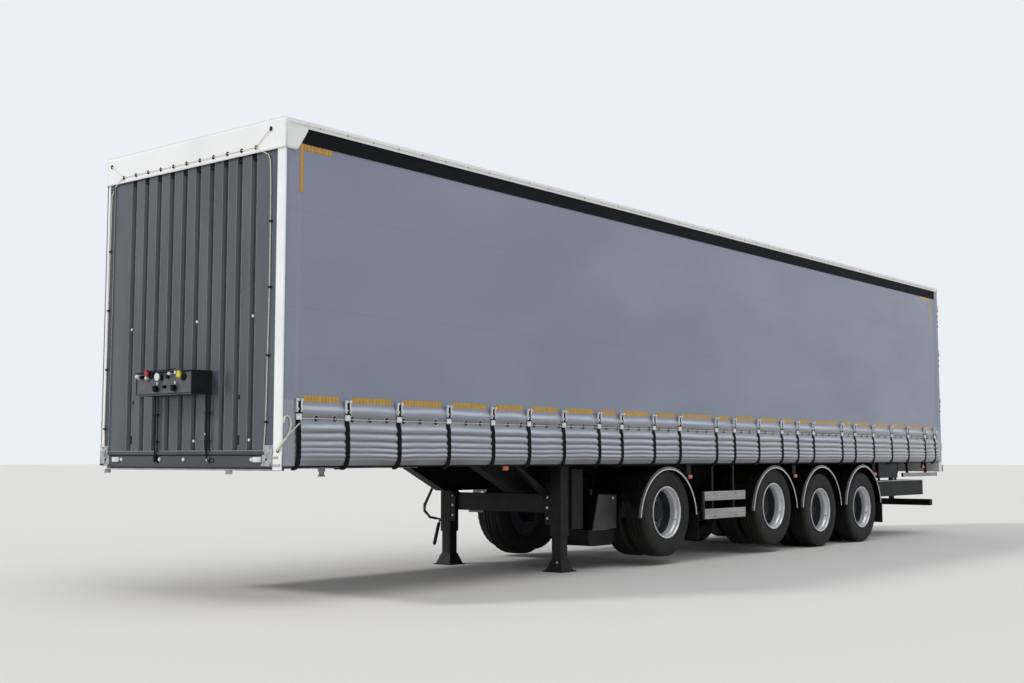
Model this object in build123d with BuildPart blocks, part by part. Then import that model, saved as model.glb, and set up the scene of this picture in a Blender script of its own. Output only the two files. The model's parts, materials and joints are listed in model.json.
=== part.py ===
"""Curtain-sided semi trailer with four axles on twin tyres, parked on its landing legs.

Millimetres. +X forward, +Y to the trailer's left, +Z up. The origin lies on the ground,
below the middle of the whole trailer. A station is a distance rearwards from the front
face of the headboard.
"""

import os
from math import cos, radians, sin

from build123d import *

os.makedirs("parts", exist_ok=True)

# Body
body_length = 14200
body_width = 2550
roof_top = 4050
floor_top = 1250
floor_thickness = 28
rave_height = 100
rave_width = 70
rave_wall = 8
post_width = 110
post_depth = 120
running_gap = 0.3
half_width = body_width / 2
deck_bottom = floor_top - floor_thickness
rave_bottom = floor_top - rave_height

# Top of the body, from the roof cover downwards
cover_wall = 6
bow_height = 54
rail_height = 90
header_height = 200
bow_top = roof_top - cover_wall - running_gap
rail_top = bow_top - bow_height
rail_bottom = rail_top - rail_height
header_bottom = roof_top - header_height

# What stands out in front and behind
connection_reach = 200
buffer_reach = 70
front_x = (body_length + buffer_reach - connection_reach) / 2
rear_x = front_x - body_length

# Wheels
tyre_radius = 507
tyre_width = 265
twin_spacing = 310
tyre_outer_face = half_width - 35
tyre_sides = 22
shoulder_bevel = 26
bore_radius = 288
barrel_radius = bore_radius - running_gap
barrel_sides = 12
flange_radius = 297
flange_thickness = 8
rim_sides = 16
dish_depth = 245
dish_radius = 256
hub_radius = 112
hub_length = 150
hub_sides = 8
spindle_radius = 45
spindle_sides = 6
spindle_length = 150
spindle_inset = 30

# Legs ahead of the body's middle, and the axles: the first two are lifted clear of the ground
lifted_height = 600
leg_reach = 2755
first_axle_reach = 1485
axle_pitch = 1360
rear_overhang = 3060
leg_station = body_length / 2 - leg_reach
axles = (
    # number, station, height of the centre
    (1, leg_station + first_axle_reach, lifted_height),
    (2, body_length - rear_overhang - 2 * axle_pitch, lifted_height),
    (3, body_length - rear_overhang - axle_pitch, tyre_radius),
    (4, body_length - rear_overhang, tyre_radius),
)
axle_x = {number: front_x - place for number, place, _ in axles}
sides = (("left", 1), ("right", -1))

# Frame
beam_spacing = 1000
beam_flange = 130
beam_plate = 12
beam_height = 362
neck_height = 82
beam_front = 120
neck_reach = 1095
neck_slope = 600
tail_slope_start = 1300
tail_slope_end = 500
tail_rise = 100
member_height = 80
member_width = 50
member_count = 20
first_member = 300
last_member_reach = 800
rear_post_depth = 110
rear_sill_face = 50
beam_bottom = deck_bottom - beam_height
neck_bottom = deck_bottom - neck_height
tail_bottom = beam_bottom + tail_rise
member_bottom = deck_bottom - member_height
beam_inner = (beam_spacing - beam_flange) / 2
beam_outer = (beam_spacing + beam_flange) / 2
web_face = (beam_spacing + beam_plate) / 2
rave_outer = half_width - 25
rave_front = front_x - post_depth
rave_rear = rear_x + rear_post_depth
outrigger_end = half_width - rave_width - 25


def station(distance):
    """The x of a place so far behind the front face of the headboard."""
    return front_x - distance


def at_x(x):
    """A plane across the trailer: local x is to the left, local y is up."""
    return Plane.YZ.offset(x)


def at_y(y):
    """A plane along the trailer: local x is forward, local y is up, the normal is -Y."""
    return Plane.XZ.offset(-y)


def block(x_range, y_range, z_range, mode=Mode.ADD):
    """A block given by its lowest and highest corner values, added to the part in work."""
    (x0, x1), (y0, y1), (z0, z1) = sorted(x_range), sorted(y_range), sorted(z_range)
    with Locations(((x0 + x1) / 2, (y0 + y1) / 2, (z0 + z1) / 2)):
        Box(x1 - x0, y1 - y0, z1 - z0, mode=mode)


def save(name, builder):
    """Labels a finished piece and writes its file."""
    builder.part.label = name
    export_step(builder.part, f"parts/{name}.step")


# Two main beams with a shallow neck over the coupling
neck_end = leg_station - neck_reach
beam_outline = [
    (station(beam_front), deck_bottom),
    (station(beam_front), neck_bottom),
    (station(neck_end), neck_bottom),
    (station(neck_end + neck_slope), beam_bottom),
    (rear_x + tail_slope_start, beam_bottom),
    (rear_x + tail_slope_end, tail_bottom),
    (rave_rear, tail_bottom),
    (rave_rear, deck_bottom),
]

with BuildPart() as main_beams:
    for _, side in sides:
        middle = side * beam_spacing / 2
        with BuildSketch(at_y(middle)):
            with BuildLine():
                Polyline(*beam_outline, close=True)
            make_face()
        extrude(amount=beam_flange / 2, both=True)
        for face in (1, -1):
            with BuildSketch(at_y(middle + face * beam_plate / 2)):
                with BuildLine():
                    Polyline(*beam_outline, close=True)
                make_face()
                offset(amount=-beam_plate, kind=Kind.INTERSECTION)
            extrude(amount=-face * beam_flange, mode=Mode.SUBTRACT)
save("main_beams", main_beams)

# Cross members between the beams, and outriggers from the beams to the side raves
member_pitch = (body_length - last_member_reach - first_member) / (member_count - 1)
member_stations = [first_member + n * member_pitch for n in range(member_count)]
member_spans = (
    # from y, to y
    (-beam_inner, beam_inner),
    (beam_outer, outrigger_end),
    (-outrigger_end, -beam_outer),
)

with BuildPart() as cross_members:
    for from_y, to_y in member_spans:
        middle_y, middle_z = (from_y + to_y) / 2, deck_bottom - member_height / 2
        with Locations(*[(station(place), middle_y, middle_z) for place in member_stations]):
            Box(member_width, to_y - from_y, member_height)
save("cross_members", cross_members)

# Side raves: channels open inwards, that carry the edges of the floor
rave_inner_face = rave_outer - rave_wall
with BuildPart() as side_raves:
    for _, side in sides:
        with BuildSketch(at_x(rave_rear)):
            with BuildLine():
                Polyline(
                    (side * rave_outer, rave_bottom),
                    (side * rave_outer, floor_top),
                    (side * rave_inner_face, floor_top),
                    (side * rave_inner_face, deck_bottom),
                    (side * outrigger_end, deck_bottom),
                    (side * outrigger_end, deck_bottom - rave_wall),
                    (side * rave_inner_face, deck_bottom - rave_wall),
                    (side * rave_inner_face, rave_bottom + rave_wall),
                    (side * outrigger_end, rave_bottom + rave_wall),
                    (side * outrigger_end, rave_bottom),
                    close=True,
                )
            make_face()
        extrude(amount=rave_front - rave_rear)
save("side_raves", side_raves)

with BuildPart() as floor_deck:
    block((rave_rear, rave_front), (-rave_inner_face, rave_inner_face), (deck_bottom, floor_top))
save("floor_deck", floor_deck)

# Coupler plate with the kingpin
coupler_front = 350
coupler_rear = 2350
coupler_thickness = 10
kingpin_station = 1600
kingpin_radius = 25.4
kingpin_neck = 35
kingpin_head = 14
kingpin_collar = 35
head_radius = 35.7
collar_radius = 36.5
head_sides = 12
coupler_bottom = neck_bottom - coupler_thickness
collar_bottom = coupler_bottom - kingpin_collar
head_top = collar_bottom - kingpin_neck

with BuildPart() as coupler_plate:
    block(
        (station(coupler_rear), station(coupler_front)),
        (-beam_outer, beam_outer),
        (coupler_bottom, neck_bottom),
    )
    front_edge = coupler_plate.edges().filter_by(Axis.Y).group_by(Axis.X)[-1].sort_by(Axis.Z)[0]
    chamfer(front_edge, length=coupler_thickness * 0.6)
    with BuildSketch(Plane.XY.offset(collar_bottom)):
        with Locations((station(kingpin_station), 0)):
            RegularPolygon(collar_radius, head_sides)
    extrude(amount=kingpin_collar)
    with BuildSketch(Plane.XY.offset(head_top)):
        with Locations((station(kingpin_station), 0)):
            Circle(kingpin_radius)
    extrude(amount=kingpin_neck)
    with BuildSketch(Plane.XY.offset(head_top)):
        with Locations((station(kingpin_station), 0)):
            RegularPolygon(head_radius, head_sides)
    extrude(amount=-kingpin_head)
save("coupler_plate", coupler_plate)

# Headboard: a corrugated wall, grooved from the sill to below the roof cover
groove_count = 10
groove_pitch = 190
groove_mouth = 74
groove_floor = 44
groove_depth = 24
wall_thickness = 45
wall_recess = 12
header_depth = 75
wall_side = half_width - post_width
wall_face = front_x - wall_recess
wall_back = wall_face - wall_thickness
groove_outline = []
for n in range(groove_count):
    middle = (n - (groove_count - 1) / 2) * groove_pitch
    groove_outline += [
        (wall_face, middle - groove_mouth / 2),
        (wall_face - groove_depth, middle - groove_floor / 2),
        (wall_face - groove_depth, middle + groove_floor / 2),
        (wall_face, middle + groove_mouth / 2),
    ]

with BuildPart() as headboard:
    with BuildSketch(Plane.XY.offset(floor_top)):
        with BuildLine():
            Polyline(
                (wall_back, -wall_side),
                (wall_face, -wall_side),
                *groove_outline,
                (wall_face, wall_side),
                (wall_back, wall_side),
                close=True,
            )
        make_face()
    extrude(amount=header_bottom - floor_top)
    block((wall_face - header_depth, wall_face), (-wall_side, wall_side), (header_bottom, bow_top))
save("headboard", headboard)

post_round = 25
with BuildPart() as front_posts:
    for _, side in sides:
        block((rave_front, front_x), (side * wall_side, side * half_width), (floor_top, bow_top))
    front_edges = front_posts.edges().filter_by(Axis.Z).group_by(Axis.X)[-1]
    fillet([e for e in front_edges if abs(e.center().Y) > half_width - 1], radius=post_round)
save("front_posts", front_posts)

# Front sill with a casting at each end
casting_hole = 30
hole_sides = 12
sill_lip_drop = 30
sill_lip_recess = 40
with BuildPart() as front_sill:
    block((rave_front, front_x), (-half_width, half_width), (rave_bottom, floor_top))
    block(
        (rave_front, front_x - sill_lip_recess),
        (-wall_side, wall_side),
        (rave_bottom - sill_lip_drop, rave_bottom),
    )
    for _, side in sides:
        with BuildSketch(at_x(front_x)):
            with Locations((side * (half_width - post_width / 2), (rave_bottom + floor_top) / 2)):
                RegularPolygon(casting_hole / 2, hole_sides)
        extrude(amount=-post_depth / 2, mode=Mode.SUBTRACT)
save("front_sill", front_sill)

# Connection box on the headboard, open at the front, with couplings on a recessed panel
box_right, box_left = -455, 340
box_rise = 520
box_height = 200
box_wall = 12
box_recess = 80
coupling_places = (-300, -60, 180)
coupling_radius = 28
coupling_sides = 8
coupling_length = 45
coupling_rise = 20
box_bottom = floor_top + box_rise
box_top = box_bottom + box_height
panel_x = front_x + connection_reach - box_recess
with BuildPart() as connection_box:
    block((wall_face, front_x + connection_reach), (box_right, box_left), (box_bottom, box_top))
    block(
        (panel_x, front_x + connection_reach + 1),
        (box_right + box_wall, box_left - box_wall),
        (box_bottom + box_wall, box_top - box_wall),
        mode=Mode.SUBTRACT,
    )
    for place in coupling_places:
        with BuildSketch(at_x(panel_x)):
            with Locations((place, (box_bottom + box_top) / 2 + coupling_rise)):
                RegularPolygon(coupling_radius, coupling_sides)
        extrude(amount=coupling_length)
save("connection_box", connection_box)

# Cantrails: a hollow rail with an outer lip that hides the top of the curtain
lip_drop = 140
lip_wall = 4.7
rail_wall = 5
rail_inner = half_width - 95
rail_outer = half_width - 17
rail_shelf = rail_top - 10
lip_bottom = rail_top - lip_drop
with BuildPart() as cantrails:
    for _, side in sides:
        with BuildSketch(at_x(rave_rear)):
            with BuildLine():
                Polyline(
                    (side * rail_inner, rail_bottom),
                    (side * rail_outer, rail_bottom),
                    (side * rail_outer, rail_shelf),
                    (side * (half_width - lip_wall), rail_shelf),
                    (side * (half_width - lip_wall), lip_bottom),
                    (side * half_width, lip_bottom),
                    (side * half_width, rail_top),
                    (side * rail_inner, rail_top),
                    close=True,
                )
            make_face()
            with Locations((side * (rail_inner + rail_outer) / 2, (rail_bottom + rail_top) / 2)):
                Rectangle(
                    rail_outer - rail_inner - 2 * rail_wall,
                    rail_height - 2 * rail_wall,
                    mode=Mode.SUBTRACT,
                )
        extrude(amount=rave_front - rave_rear)
save("cantrails", cantrails)

bow_count = 12
bow_width = 45
bow_end = half_width - 20
bow_pitch = (rave_front - rave_rear) / (bow_count + 1)
with BuildPart() as roof_bows:
    with Locations(*[(rave_rear + (n + 1) * bow_pitch, 0, rail_top) for n in range(bow_count)]):
        Box(bow_width, 2 * bow_end, bow_height, align=(Align.CENTER, Align.CENTER, Align.MIN))
save("roof_bows", roof_bows)

# Roof cover: a tray turned upside down, with a long drop over the headboard
skirt_height = 70
front_drop = 260
skirt_bottom = roof_top - skirt_height
cover_side = half_width + cover_wall
cover_front = front_x + cover_wall
cover_rear = rear_x - cover_wall
with BuildPart() as roof_tarp:
    block((cover_rear, cover_front), (-cover_side, cover_side), (skirt_bottom, roof_top))
    block(
        (rear_x - running_gap, front_x + running_gap),
        (-half_width - running_gap, half_width + running_gap),
        (skirt_bottom - 1, roof_top - cover_wall),
        mode=Mode.SUBTRACT,
    )
    block(
        (front_x + running_gap, cover_front),
        (-cover_side, cover_side),
        (roof_top - front_drop, skirt_bottom + 1),
    )
save("roof_tarp", roof_tarp)

# Curtains: one soft sheet along each side
curtain_outer = half_width - 5
curtain_thickness = 8
curtain_inner = curtain_outer - curtain_thickness
curtain_bottom = rave_bottom + 10
curtain_top = rail_top - 20
for name, side in sides:
    with BuildPart() as curtain:
        block(
            (rave_rear + running_gap, rave_front - running_gap),
            (side * curtain_inner, side * curtain_outer),
            (curtain_bottom, curtain_top),
        )
    save(f"curtain_{name}", curtain)

# Straps with their buckles, down to below the raves. Places are per mille of the body's length.
strap_places = (11.3, 50.0, 94.4, 140.8, 185.9, 225.4, 266.2, 310.6, 340.8, 386.6, 425.4, 484.5,
                515.5, 559.2, 604.2, 635.9, 669.0, 732.4, 763.4, 808.5, 855.6, 900.7, 948.6, 978.2)
strap_width = 45
strap_thickness = 3
buckle_depth = 14
buckle_rise = 280
buckle_length = 170
strap_overhang = 25
strap_face = curtain_outer + running_gap
buckle_bottom = floor_top + buckle_rise
strap_top = buckle_bottom + buckle_length
strap_bottom = rave_bottom - strap_overhang
with BuildPart() as strap:
    with BuildSketch(at_x(-strap_width / 2)):
        with BuildLine():
            Polyline(
                (strap_face, strap_top),
                (strap_face + buckle_depth, strap_top),
                (strap_face + buckle_depth, buckle_bottom),
                (strap_face + strap_thickness, buckle_bottom),
                (strap_face + strap_thickness, strap_bottom),
                (strap_face, strap_bottom),
                close=True,
            )
        make_face()
    extrude(amount=strap_width)

strap_x = [station(place * body_length / 1000) for place in strap_places]
with BuildPart() as straps:
    for _, side in sides:
        with Locations(*[(x, 0) for x in strap_x]):
            add(strap.part, rotation=(0, 0, 90 - side * 90))
save("straps", straps)

# Side posts behind the curtains, with laths along their inner faces
post_places = (207.7, 408.5, 605.6, 802.8)
side_post_size = 70
side_post_outer = curtain_inner - 12
lath_face = side_post_outer - side_post_size
with BuildPart() as side_posts:
    for _, side in sides:
        for place in post_places:
            middle = station(place * body_length / 1000)
            block(
                (middle - side_post_size / 2, middle + side_post_size / 2),
                (side * lath_face, side * side_post_outer),
                (floor_top, rail_bottom),
            )
save("side_posts", side_posts)

lath_rises = (650, 1250, 1850)
lath_height = 100
lath_thickness = 20
with BuildPart() as side_laths:
    for _, side in sides:
        for rise in lath_rises:
            block(
                (rave_rear, rave_front),
                (side * (lath_face - lath_thickness), side * lath_face),
                (floor_top + rise, floor_top + rise + lath_height),
            )
save("side_laths", side_laths)

# Rear doors: sizes that the frame's lugs and keepers share with them
hinge_offset = 46
hinge_inset = 12
knuckle_radius = 12
knuckle_length = 60
pin_radius = 6
pin_sides = 6
door_recess = 40
door_thickness = 45
door_gap = 8
rod_radius = 13
rod_sides = 6
rod_places = (150, 800)
hinge_shares = (0.1, 0.37, 0.66, 0.93)
hinge_y = half_width - hinge_inset
hinge_x = rear_x - hinge_offset
door_face = hinge_x + door_recess
door_bottom = rave_bottom - 20
door_top = header_bottom + 50
hinge_heights = [door_bottom + share * (door_top - door_bottom) for share in hinge_shares]

# Rear frame: portal of posts, sill and header, with hinge lugs, pins and rod keepers
frame_drop = 250
lug_length = 24
lug_gap = 0.5
keeper_wall = 6
keeper_height = 50
keeper_half_gap = rod_radius + 13
frame_bottom = floor_top - frame_drop
keeper_lows = (door_bottom - keeper_height - 12, door_top + 10)
with BuildPart() as rear_frame:
    for _, side in sides:
        block(
            (rear_x, rave_rear),
            (side * wall_side, side * half_width),
            (frame_bottom, bow_top),
        )
    for low, high in ((frame_bottom, floor_top), (header_bottom, bow_top)):
        block((rear_x + rear_sill_face, rave_rear), (-wall_side, wall_side), (low, high))
    for _, side in sides:
        for height in hinge_heights:
            for end in (1, -1):
                near = height + end * (knuckle_length / 2 + lug_gap)
                block(
                    (hinge_x - knuckle_radius, rear_x),
                    (side * hinge_y - knuckle_radius, side * hinge_y + knuckle_radius),
                    (near, near + end * lug_length),
                )
            with BuildSketch(Plane.XY.offset(height - knuckle_length / 2 - lug_gap)):
                with Locations((hinge_x, side * hinge_y)):
                    RegularPolygon(pin_radius, pin_sides, rotation=180 / pin_sides)
            extrude(amount=knuckle_length + 2 * lug_gap)
        for place in rod_places:
            for cheek in (1, -1):
                near = side * place + cheek * keeper_half_gap
                for low in keeper_lows:
                    block(
                        (rear_x, rear_x + rear_sill_face),
                        (near, near + cheek * keeper_wall),
                        (low, low + keeper_height),
                    )
save("rear_frame", rear_frame)

# Each rear door turns about the pins on its own post, and carries two lock rods in channels
door_edge = wall_side - door_gap
channel_width = 60
channel_depth = 30
blade_thickness = 8
blade_reach = 240
bracket_shares = (0.04, 0.96)
bracket_height = 40
rod_x = door_face + rod_radius + 1
rod_bottom = door_bottom - 45
rod_top = door_top + 65
handle_height = 1550
handle_reach = 300
handle_thickness = 11
handle_width = 30
for name, side in sides:
    with BuildPart() as rear_door:
        block(
            (door_face, door_face + door_thickness),
            (side * door_gap, side * door_edge),
            (door_bottom, door_top),
        )
        for place in rod_places:
            block(
                (door_face, door_face + channel_depth),
                (side * place - channel_width / 2, side * place + channel_width / 2),
                (door_bottom, door_top),
                mode=Mode.SUBTRACT,
            )
        for height in hinge_heights:
            with BuildSketch(Plane.XY.offset(height - knuckle_length / 2)):
                with Locations((hinge_x, side * hinge_y)):
                    RegularPolygon(knuckle_radius, pin_sides)
                with Locations((hinge_x + door_recess / 2, side * hinge_y)):
                    Rectangle(door_recess, 2 * blade_thickness)
                with Locations((door_face - blade_thickness / 2, side * (hinge_y - blade_reach / 2))):
                    Rectangle(blade_thickness, blade_reach)
                with Locations((hinge_x, side * hinge_y)):
                    RegularPolygon(
                        pin_radius + running_gap,
                        pin_sides,
                        major_radius=False,
                        mode=Mode.SUBTRACT,
                    )
            extrude(amount=knuckle_length)
    save(f"rear_door_{name}", rear_door)

    with BuildPart() as lock_rods:
        for place in rod_places:
            with BuildSketch(Plane.XY.offset(rod_bottom)):
                with Locations((rod_x, side * place)):
                    RegularPolygon(rod_radius, rod_sides)
            extrude(amount=rod_top - rod_bottom)
            for share in bracket_shares:
                low = door_bottom + share * (door_top - door_bottom - bracket_height)
                block(
                    (door_face, door_face + channel_depth),
                    (side * place - channel_width / 2, side * place + channel_width / 2),
                    (low, low + bracket_height),
                )
            way = side if place == rod_places[0] else -side
            block(
                (door_face - handle_thickness, rod_x),
                (side * place - rod_radius, side * place + rod_radius),
                (handle_height, handle_height + handle_width),
            )
            block(
                (door_face - handle_thickness, door_face - 1),
                (side * place, side * place + way * handle_reach),
                (handle_height, handle_height + handle_width),
            )
    save(f"lock_rods_{name}", lock_rods)

# Rear lamps, buffers and underrun guard
lamp_inner, lamp_outer = 860, 1140
lamp_height = 100
lamp_depth = 45
with BuildPart() as rear_lamps:
    for _, side in sides:
        block(
            (rear_x + rear_sill_face - lamp_depth, rear_x + rear_sill_face),
            (side * lamp_inner, side * lamp_outer),
            (frame_bottom + 10, frame_bottom + 10 + lamp_height),
        )
save("rear_lamps", rear_lamps)

buffer_width = 90
buffer_height = 110
with BuildPart() as rear_buffers:
    for _, side in sides:
        block(
            (rear_x - buffer_reach, rear_x),
            (side * (half_width - 10 - buffer_width), side * (half_width - 10)),
            (frame_bottom, frame_bottom + buffer_height),
        )
save("rear_buffers", rear_buffers)

guard_reach = 250
guard_size = 100
guard_height = 500
guard_arm = 60
guard_side = half_width - 100
guard_x = rear_x + guard_reach
with BuildPart() as underrun_guard:
    block(
        (guard_x - guard_size / 2, guard_x + guard_size / 2),
        (-guard_side, guard_side),
        (guard_height - guard_size / 2, guard_height + guard_size / 2),
    )
    for _, side in sides:
        block(
            (guard_x - guard_size * 0.4, guard_x + guard_size * 0.4),
            (side * (beam_spacing - guard_arm) / 2, side * (beam_spacing + guard_arm) / 2),
            (guard_height, tail_bottom),
        )
save("underrun_guard", underrun_guard)

# Landing legs with flared feet, hung from bracket plates on the webs of the main beams
leg_offset = 801
leg_housing = 145
leg_tube = 120
housing_bottom = 380
foot_size = 260
foot_plate = 12
foot_height = 130
foot_step = 20
foot_collar = 5
bracket_back = 32
leg_x = station(leg_station)
leg_inner = leg_offset - leg_housing / 2
foot_low, foot_high = foot_size / 2 - foot_step, leg_tube / 2 + foot_collar
foot_outline = [(-foot_low, foot_plate), (foot_low, foot_plate), (foot_high, foot_height), (-foot_high, foot_height)]

with BuildPart() as leg_foot:
    with BuildSketch(Plane.XZ):
        with BuildLine():
            Polyline(*foot_outline, close=True)
        make_face()
    extrude(amount=foot_size / 2, both=True)
    with BuildSketch(Plane.YZ):
        with BuildLine():
            Polyline(*foot_outline, close=True)
        make_face()
    extrude(amount=foot_size / 2, both=True, mode=Mode.INTERSECT)

with BuildPart() as landing_legs:
    for _, side in sides:
        middle = side * leg_offset
        column = (
            # width, lower end, upper end
            (leg_housing, housing_bottom, member_bottom),
            (leg_tube, foot_plate, housing_bottom),
            (foot_size, 0, foot_plate),
        )
        for width, low, high in column:
            block(
                (leg_x - width / 2, leg_x + width / 2),
                (middle - width / 2, middle + width / 2),
                (low, high),
            )
        with Locations((leg_x, middle)):
            add(leg_foot.part)
        block(
            (leg_x - bracket_back - beam_plate, leg_x - bracket_back),
            (side * web_face, side * leg_inner),
            (beam_bottom + beam_plate, member_bottom),
        )
save("landing_legs", landing_legs)

brace_bottom, brace_top = 630, 830
brace_depth = 60
strut_width = 50
strut_depth = 70
strut_member = 5
strut_gap = 40
strut_x = station(member_stations[strut_member])
strut_middle = leg_inner - strut_gap - strut_width / 2
with BuildPart() as leg_brace:
    block(
        (leg_x - brace_depth / 2, leg_x + brace_depth / 2),
        (-leg_inner, leg_inner),
        (brace_bottom, brace_top),
    )
    for _, side in sides:
        with BuildSketch(at_y(side * strut_middle)):
            with BuildLine():
                Polyline(
                    (leg_x, brace_top - strut_depth),
                    (leg_x, brace_top),
                    (strut_x - strut_depth / 2, member_bottom),
                    (strut_x + strut_depth / 2, member_bottom),
                    (leg_x + brace_depth / 2, brace_top - strut_depth),
                    close=True,
                )
            make_face()
        extrude(amount=strut_width / 2, both=True)
save("leg_brace", leg_brace)

# Crank of the landing legs, folded back beside the right-hand leg
crank_radius = 12
crank_sides = 6
crank_height = 513
crank_reach = 77
crank_arm = (
    # ahead of the leg, above the shaft
    (172, 29),
    (275, 102),
    (276, 170),
    (107, 409),
)
crank_grip = (101, -296)
crank_start_y = -(leg_offset + leg_housing / 2)
crank_end_y = crank_start_y - crank_reach
with BuildPart() as leg_crank:
    with BuildLine() as crank_path:
        Polyline(
            (leg_x, crank_start_y, crank_height),
            (leg_x, crank_end_y, crank_height),
            *[(leg_x + ahead, crank_end_y, crank_height + rise) for ahead, rise in crank_arm],
        )
    with BuildSketch(Plane(origin=crank_path.line @ 0, z_dir=crank_path.line % 0)):
        RegularPolygon(crank_radius, crank_sides)
    sweep(path=crank_path.line, transition=Transition.RIGHT)
    with BuildLine() as grip_path:
        Line(
            (leg_x, crank_end_y, crank_height),
            (leg_x + crank_grip[0], crank_end_y, crank_height + crank_grip[1]),
        )
    with BuildSketch(Plane(origin=grip_path.line @ 0, z_dir=grip_path.line % 0)):
        RegularPolygon(crank_radius, crank_sides)
    sweep(path=grip_path.line)
save("leg_crank", leg_crank)

# Wheels. A tyre has many flats around it, and stands on one of them.
tyre_turn = 270 - 180 / tyre_sides
barrel_turn = 180 / barrel_sides
rim_turn = 180 / rim_sides
twin_middle = tyre_outer_face - tyre_width / 2 - twin_spacing / 2
barrel_half = (twin_spacing + tyre_width) / 2 + running_gap + flange_thickness

with BuildPart() as tyre:
    with BuildSketch(Plane.XZ):
        RegularPolygon(tyre_radius, tyre_sides, major_radius=False, rotation=tyre_turn)
    extrude(amount=tyre_width / 2, both=True)
    shoulders = tyre.edges().group_by(Axis.Y)
    chamfer(shoulders[0] + shoulders[-1], length=shoulder_bevel)
    with BuildSketch(Plane.XZ):
        RegularPolygon(bore_radius, barrel_sides, major_radius=False, rotation=barrel_turn)
    extrude(amount=tyre_width, both=True, mode=Mode.SUBTRACT)

with BuildPart() as wheel_core:
    with BuildSketch(Plane.XZ):
        RegularPolygon(barrel_radius, barrel_sides, major_radius=False, rotation=barrel_turn)
    extrude(amount=barrel_half, both=True)
    with BuildSketch(at_y(barrel_half)):
        RegularPolygon(flange_radius, rim_sides, major_radius=False, rotation=rim_turn)
    extrude(amount=flange_thickness)
    with BuildSketch(at_y(barrel_half)):
        RegularPolygon(dish_radius, rim_sides, major_radius=False, rotation=rim_turn)
    extrude(amount=dish_depth, mode=Mode.SUBTRACT)
    with BuildSketch(at_y(barrel_half - dish_depth)):
        RegularPolygon(hub_radius, hub_sides)
    extrude(amount=-hub_length)
    with BuildSketch(at_y(-barrel_half)):
        RegularPolygon(spindle_radius + running_gap, spindle_sides, major_radius=False)
    extrude(amount=-spindle_inset - spindle_length - 5, mode=Mode.SUBTRACT)

for number, place, height in axles:
    for name, side in sides:
        with BuildPart() as tyres:
            with Locations(
                (station(place), side * (twin_middle - twin_spacing / 2), height),
                (station(place), side * (twin_middle + twin_spacing / 2), height),
            ):
                add(tyre.part)
        save(f"tyres_{number}_{name}", tyres)
        with BuildPart() as rims:
            with Locations((station(place), side * twin_middle, height)):
                add(wheel_core.part, rotation=(0, 0, 90 - side * 90))
        save(f"rims_{number}_{name}", rims)

# Axles: square beams with brake plates and the spindles that carry the wheels
axle_size = 140
plate_radius = 200
plate_thickness = 10
plate_gap = 8
core_inner_face = twin_middle - barrel_half
plate_outer = core_inner_face - plate_gap
spindle_end = core_inner_face + spindle_inset + spindle_length
with BuildPart() as axle:
    block(
        (-axle_size / 2, axle_size / 2),
        (plate_thickness - plate_outer, plate_outer - plate_thickness),
        (-axle_size / 2, axle_size / 2),
    )
    for _, side in sides:
        with BuildSketch(at_y(side * plate_outer)):
            RegularPolygon(plate_radius, hub_sides, rotation=180 / hub_sides)
        extrude(amount=side * plate_thickness)
        with BuildSketch(at_y(side * spindle_end)):
            RegularPolygon(spindle_radius, spindle_sides, rotation=180 / spindle_sides)
        extrude(amount=side * (spindle_end - plate_outer))

with BuildPart() as axle_beams:
    with Locations(*[(station(place), 0, height) for _, place, height in axles]):
        add(axle.part)
save("axle_beams", axle_beams)

# Air suspension: hanger cheeks, trailing arms over the axles, springs and brake chambers
arm_width = 100
arm_depth = 70
arm_inner = (beam_spacing - arm_width) / 2
arm_outer = (beam_spacing + arm_width) / 2
pivot_reach = 500
pivot_height = 650
spring_reach = 370
spring_radius = 125
spring_sides = 8
spring_foot = 20
foot_share = 0.72
hanger_wall = 10
hanger_bottom = 600
with BuildPart() as trailing_arms:
    for _, place, height in axles:
        arm_bottom = height + axle_size / 2
        for _, side in sides:
            with BuildSketch(at_y(side * beam_spacing / 2)):
                with BuildLine():
                    Polyline(
                        (station(place - pivot_reach - 40), pivot_height - arm_depth / 2),
                        (station(place - pivot_reach - 40), pivot_height + arm_depth / 2),
                        (station(place - 100), arm_bottom + arm_depth),
                        (station(place + spring_reach + 60), arm_bottom + arm_depth),
                        (station(place + spring_reach + 60), arm_bottom + arm_depth / 2),
                        (station(place + 100), arm_bottom),
                        (station(place - 100), arm_bottom),
                        close=True,
                    )
                make_face()
            extrude(amount=arm_width / 2, both=True)
save("trailing_arms", trailing_arms)

with BuildPart() as hangers:
    for _, place, _ in axles:
        for _, side in sides:
            for inner in (arm_inner - hanger_wall, arm_outer):
                with BuildSketch(at_y(side * (inner + hanger_wall / 2))):
                    with BuildLine():
                        Polyline(
                            (station(place - pivot_reach + 90), beam_bottom),
                            (station(place - pivot_reach - 130), beam_bottom),
                            (station(place - pivot_reach - 60), hanger_bottom),
                            (station(place - pivot_reach + 60), hanger_bottom),
                            close=True,
                        )
                    make_face()
                extrude(amount=hanger_wall / 2, both=True)
save("hangers", hangers)

spring_copies = []
for spring_height in (lifted_height, tyre_radius):
    spring_base = spring_height + axle_size / 2 + arm_depth
    with BuildPart() as air_spring:
        with BuildSketch(Plane.XY.offset(spring_base)):
            RegularPolygon(spring_radius * foot_share, spring_sides)
        extrude(amount=spring_foot)
        with BuildSketch(Plane.XY.offset(spring_base + spring_foot)):
            RegularPolygon(spring_radius, spring_sides)
        extrude(amount=beam_bottom - spring_base - spring_foot)
    spring_spots = [
        (station(place + spring_reach), side * beam_spacing / 2)
        for _, place, height in axles
        for _, side in sides
        if height == spring_height
    ]
    spring_copies.append((air_spring.part, spring_spots))

with BuildPart() as air_springs:
    for one_spring, spring_spots in spring_copies:
        with Locations(*spring_spots):
            add(one_spring)
save("air_springs", air_springs)

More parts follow.
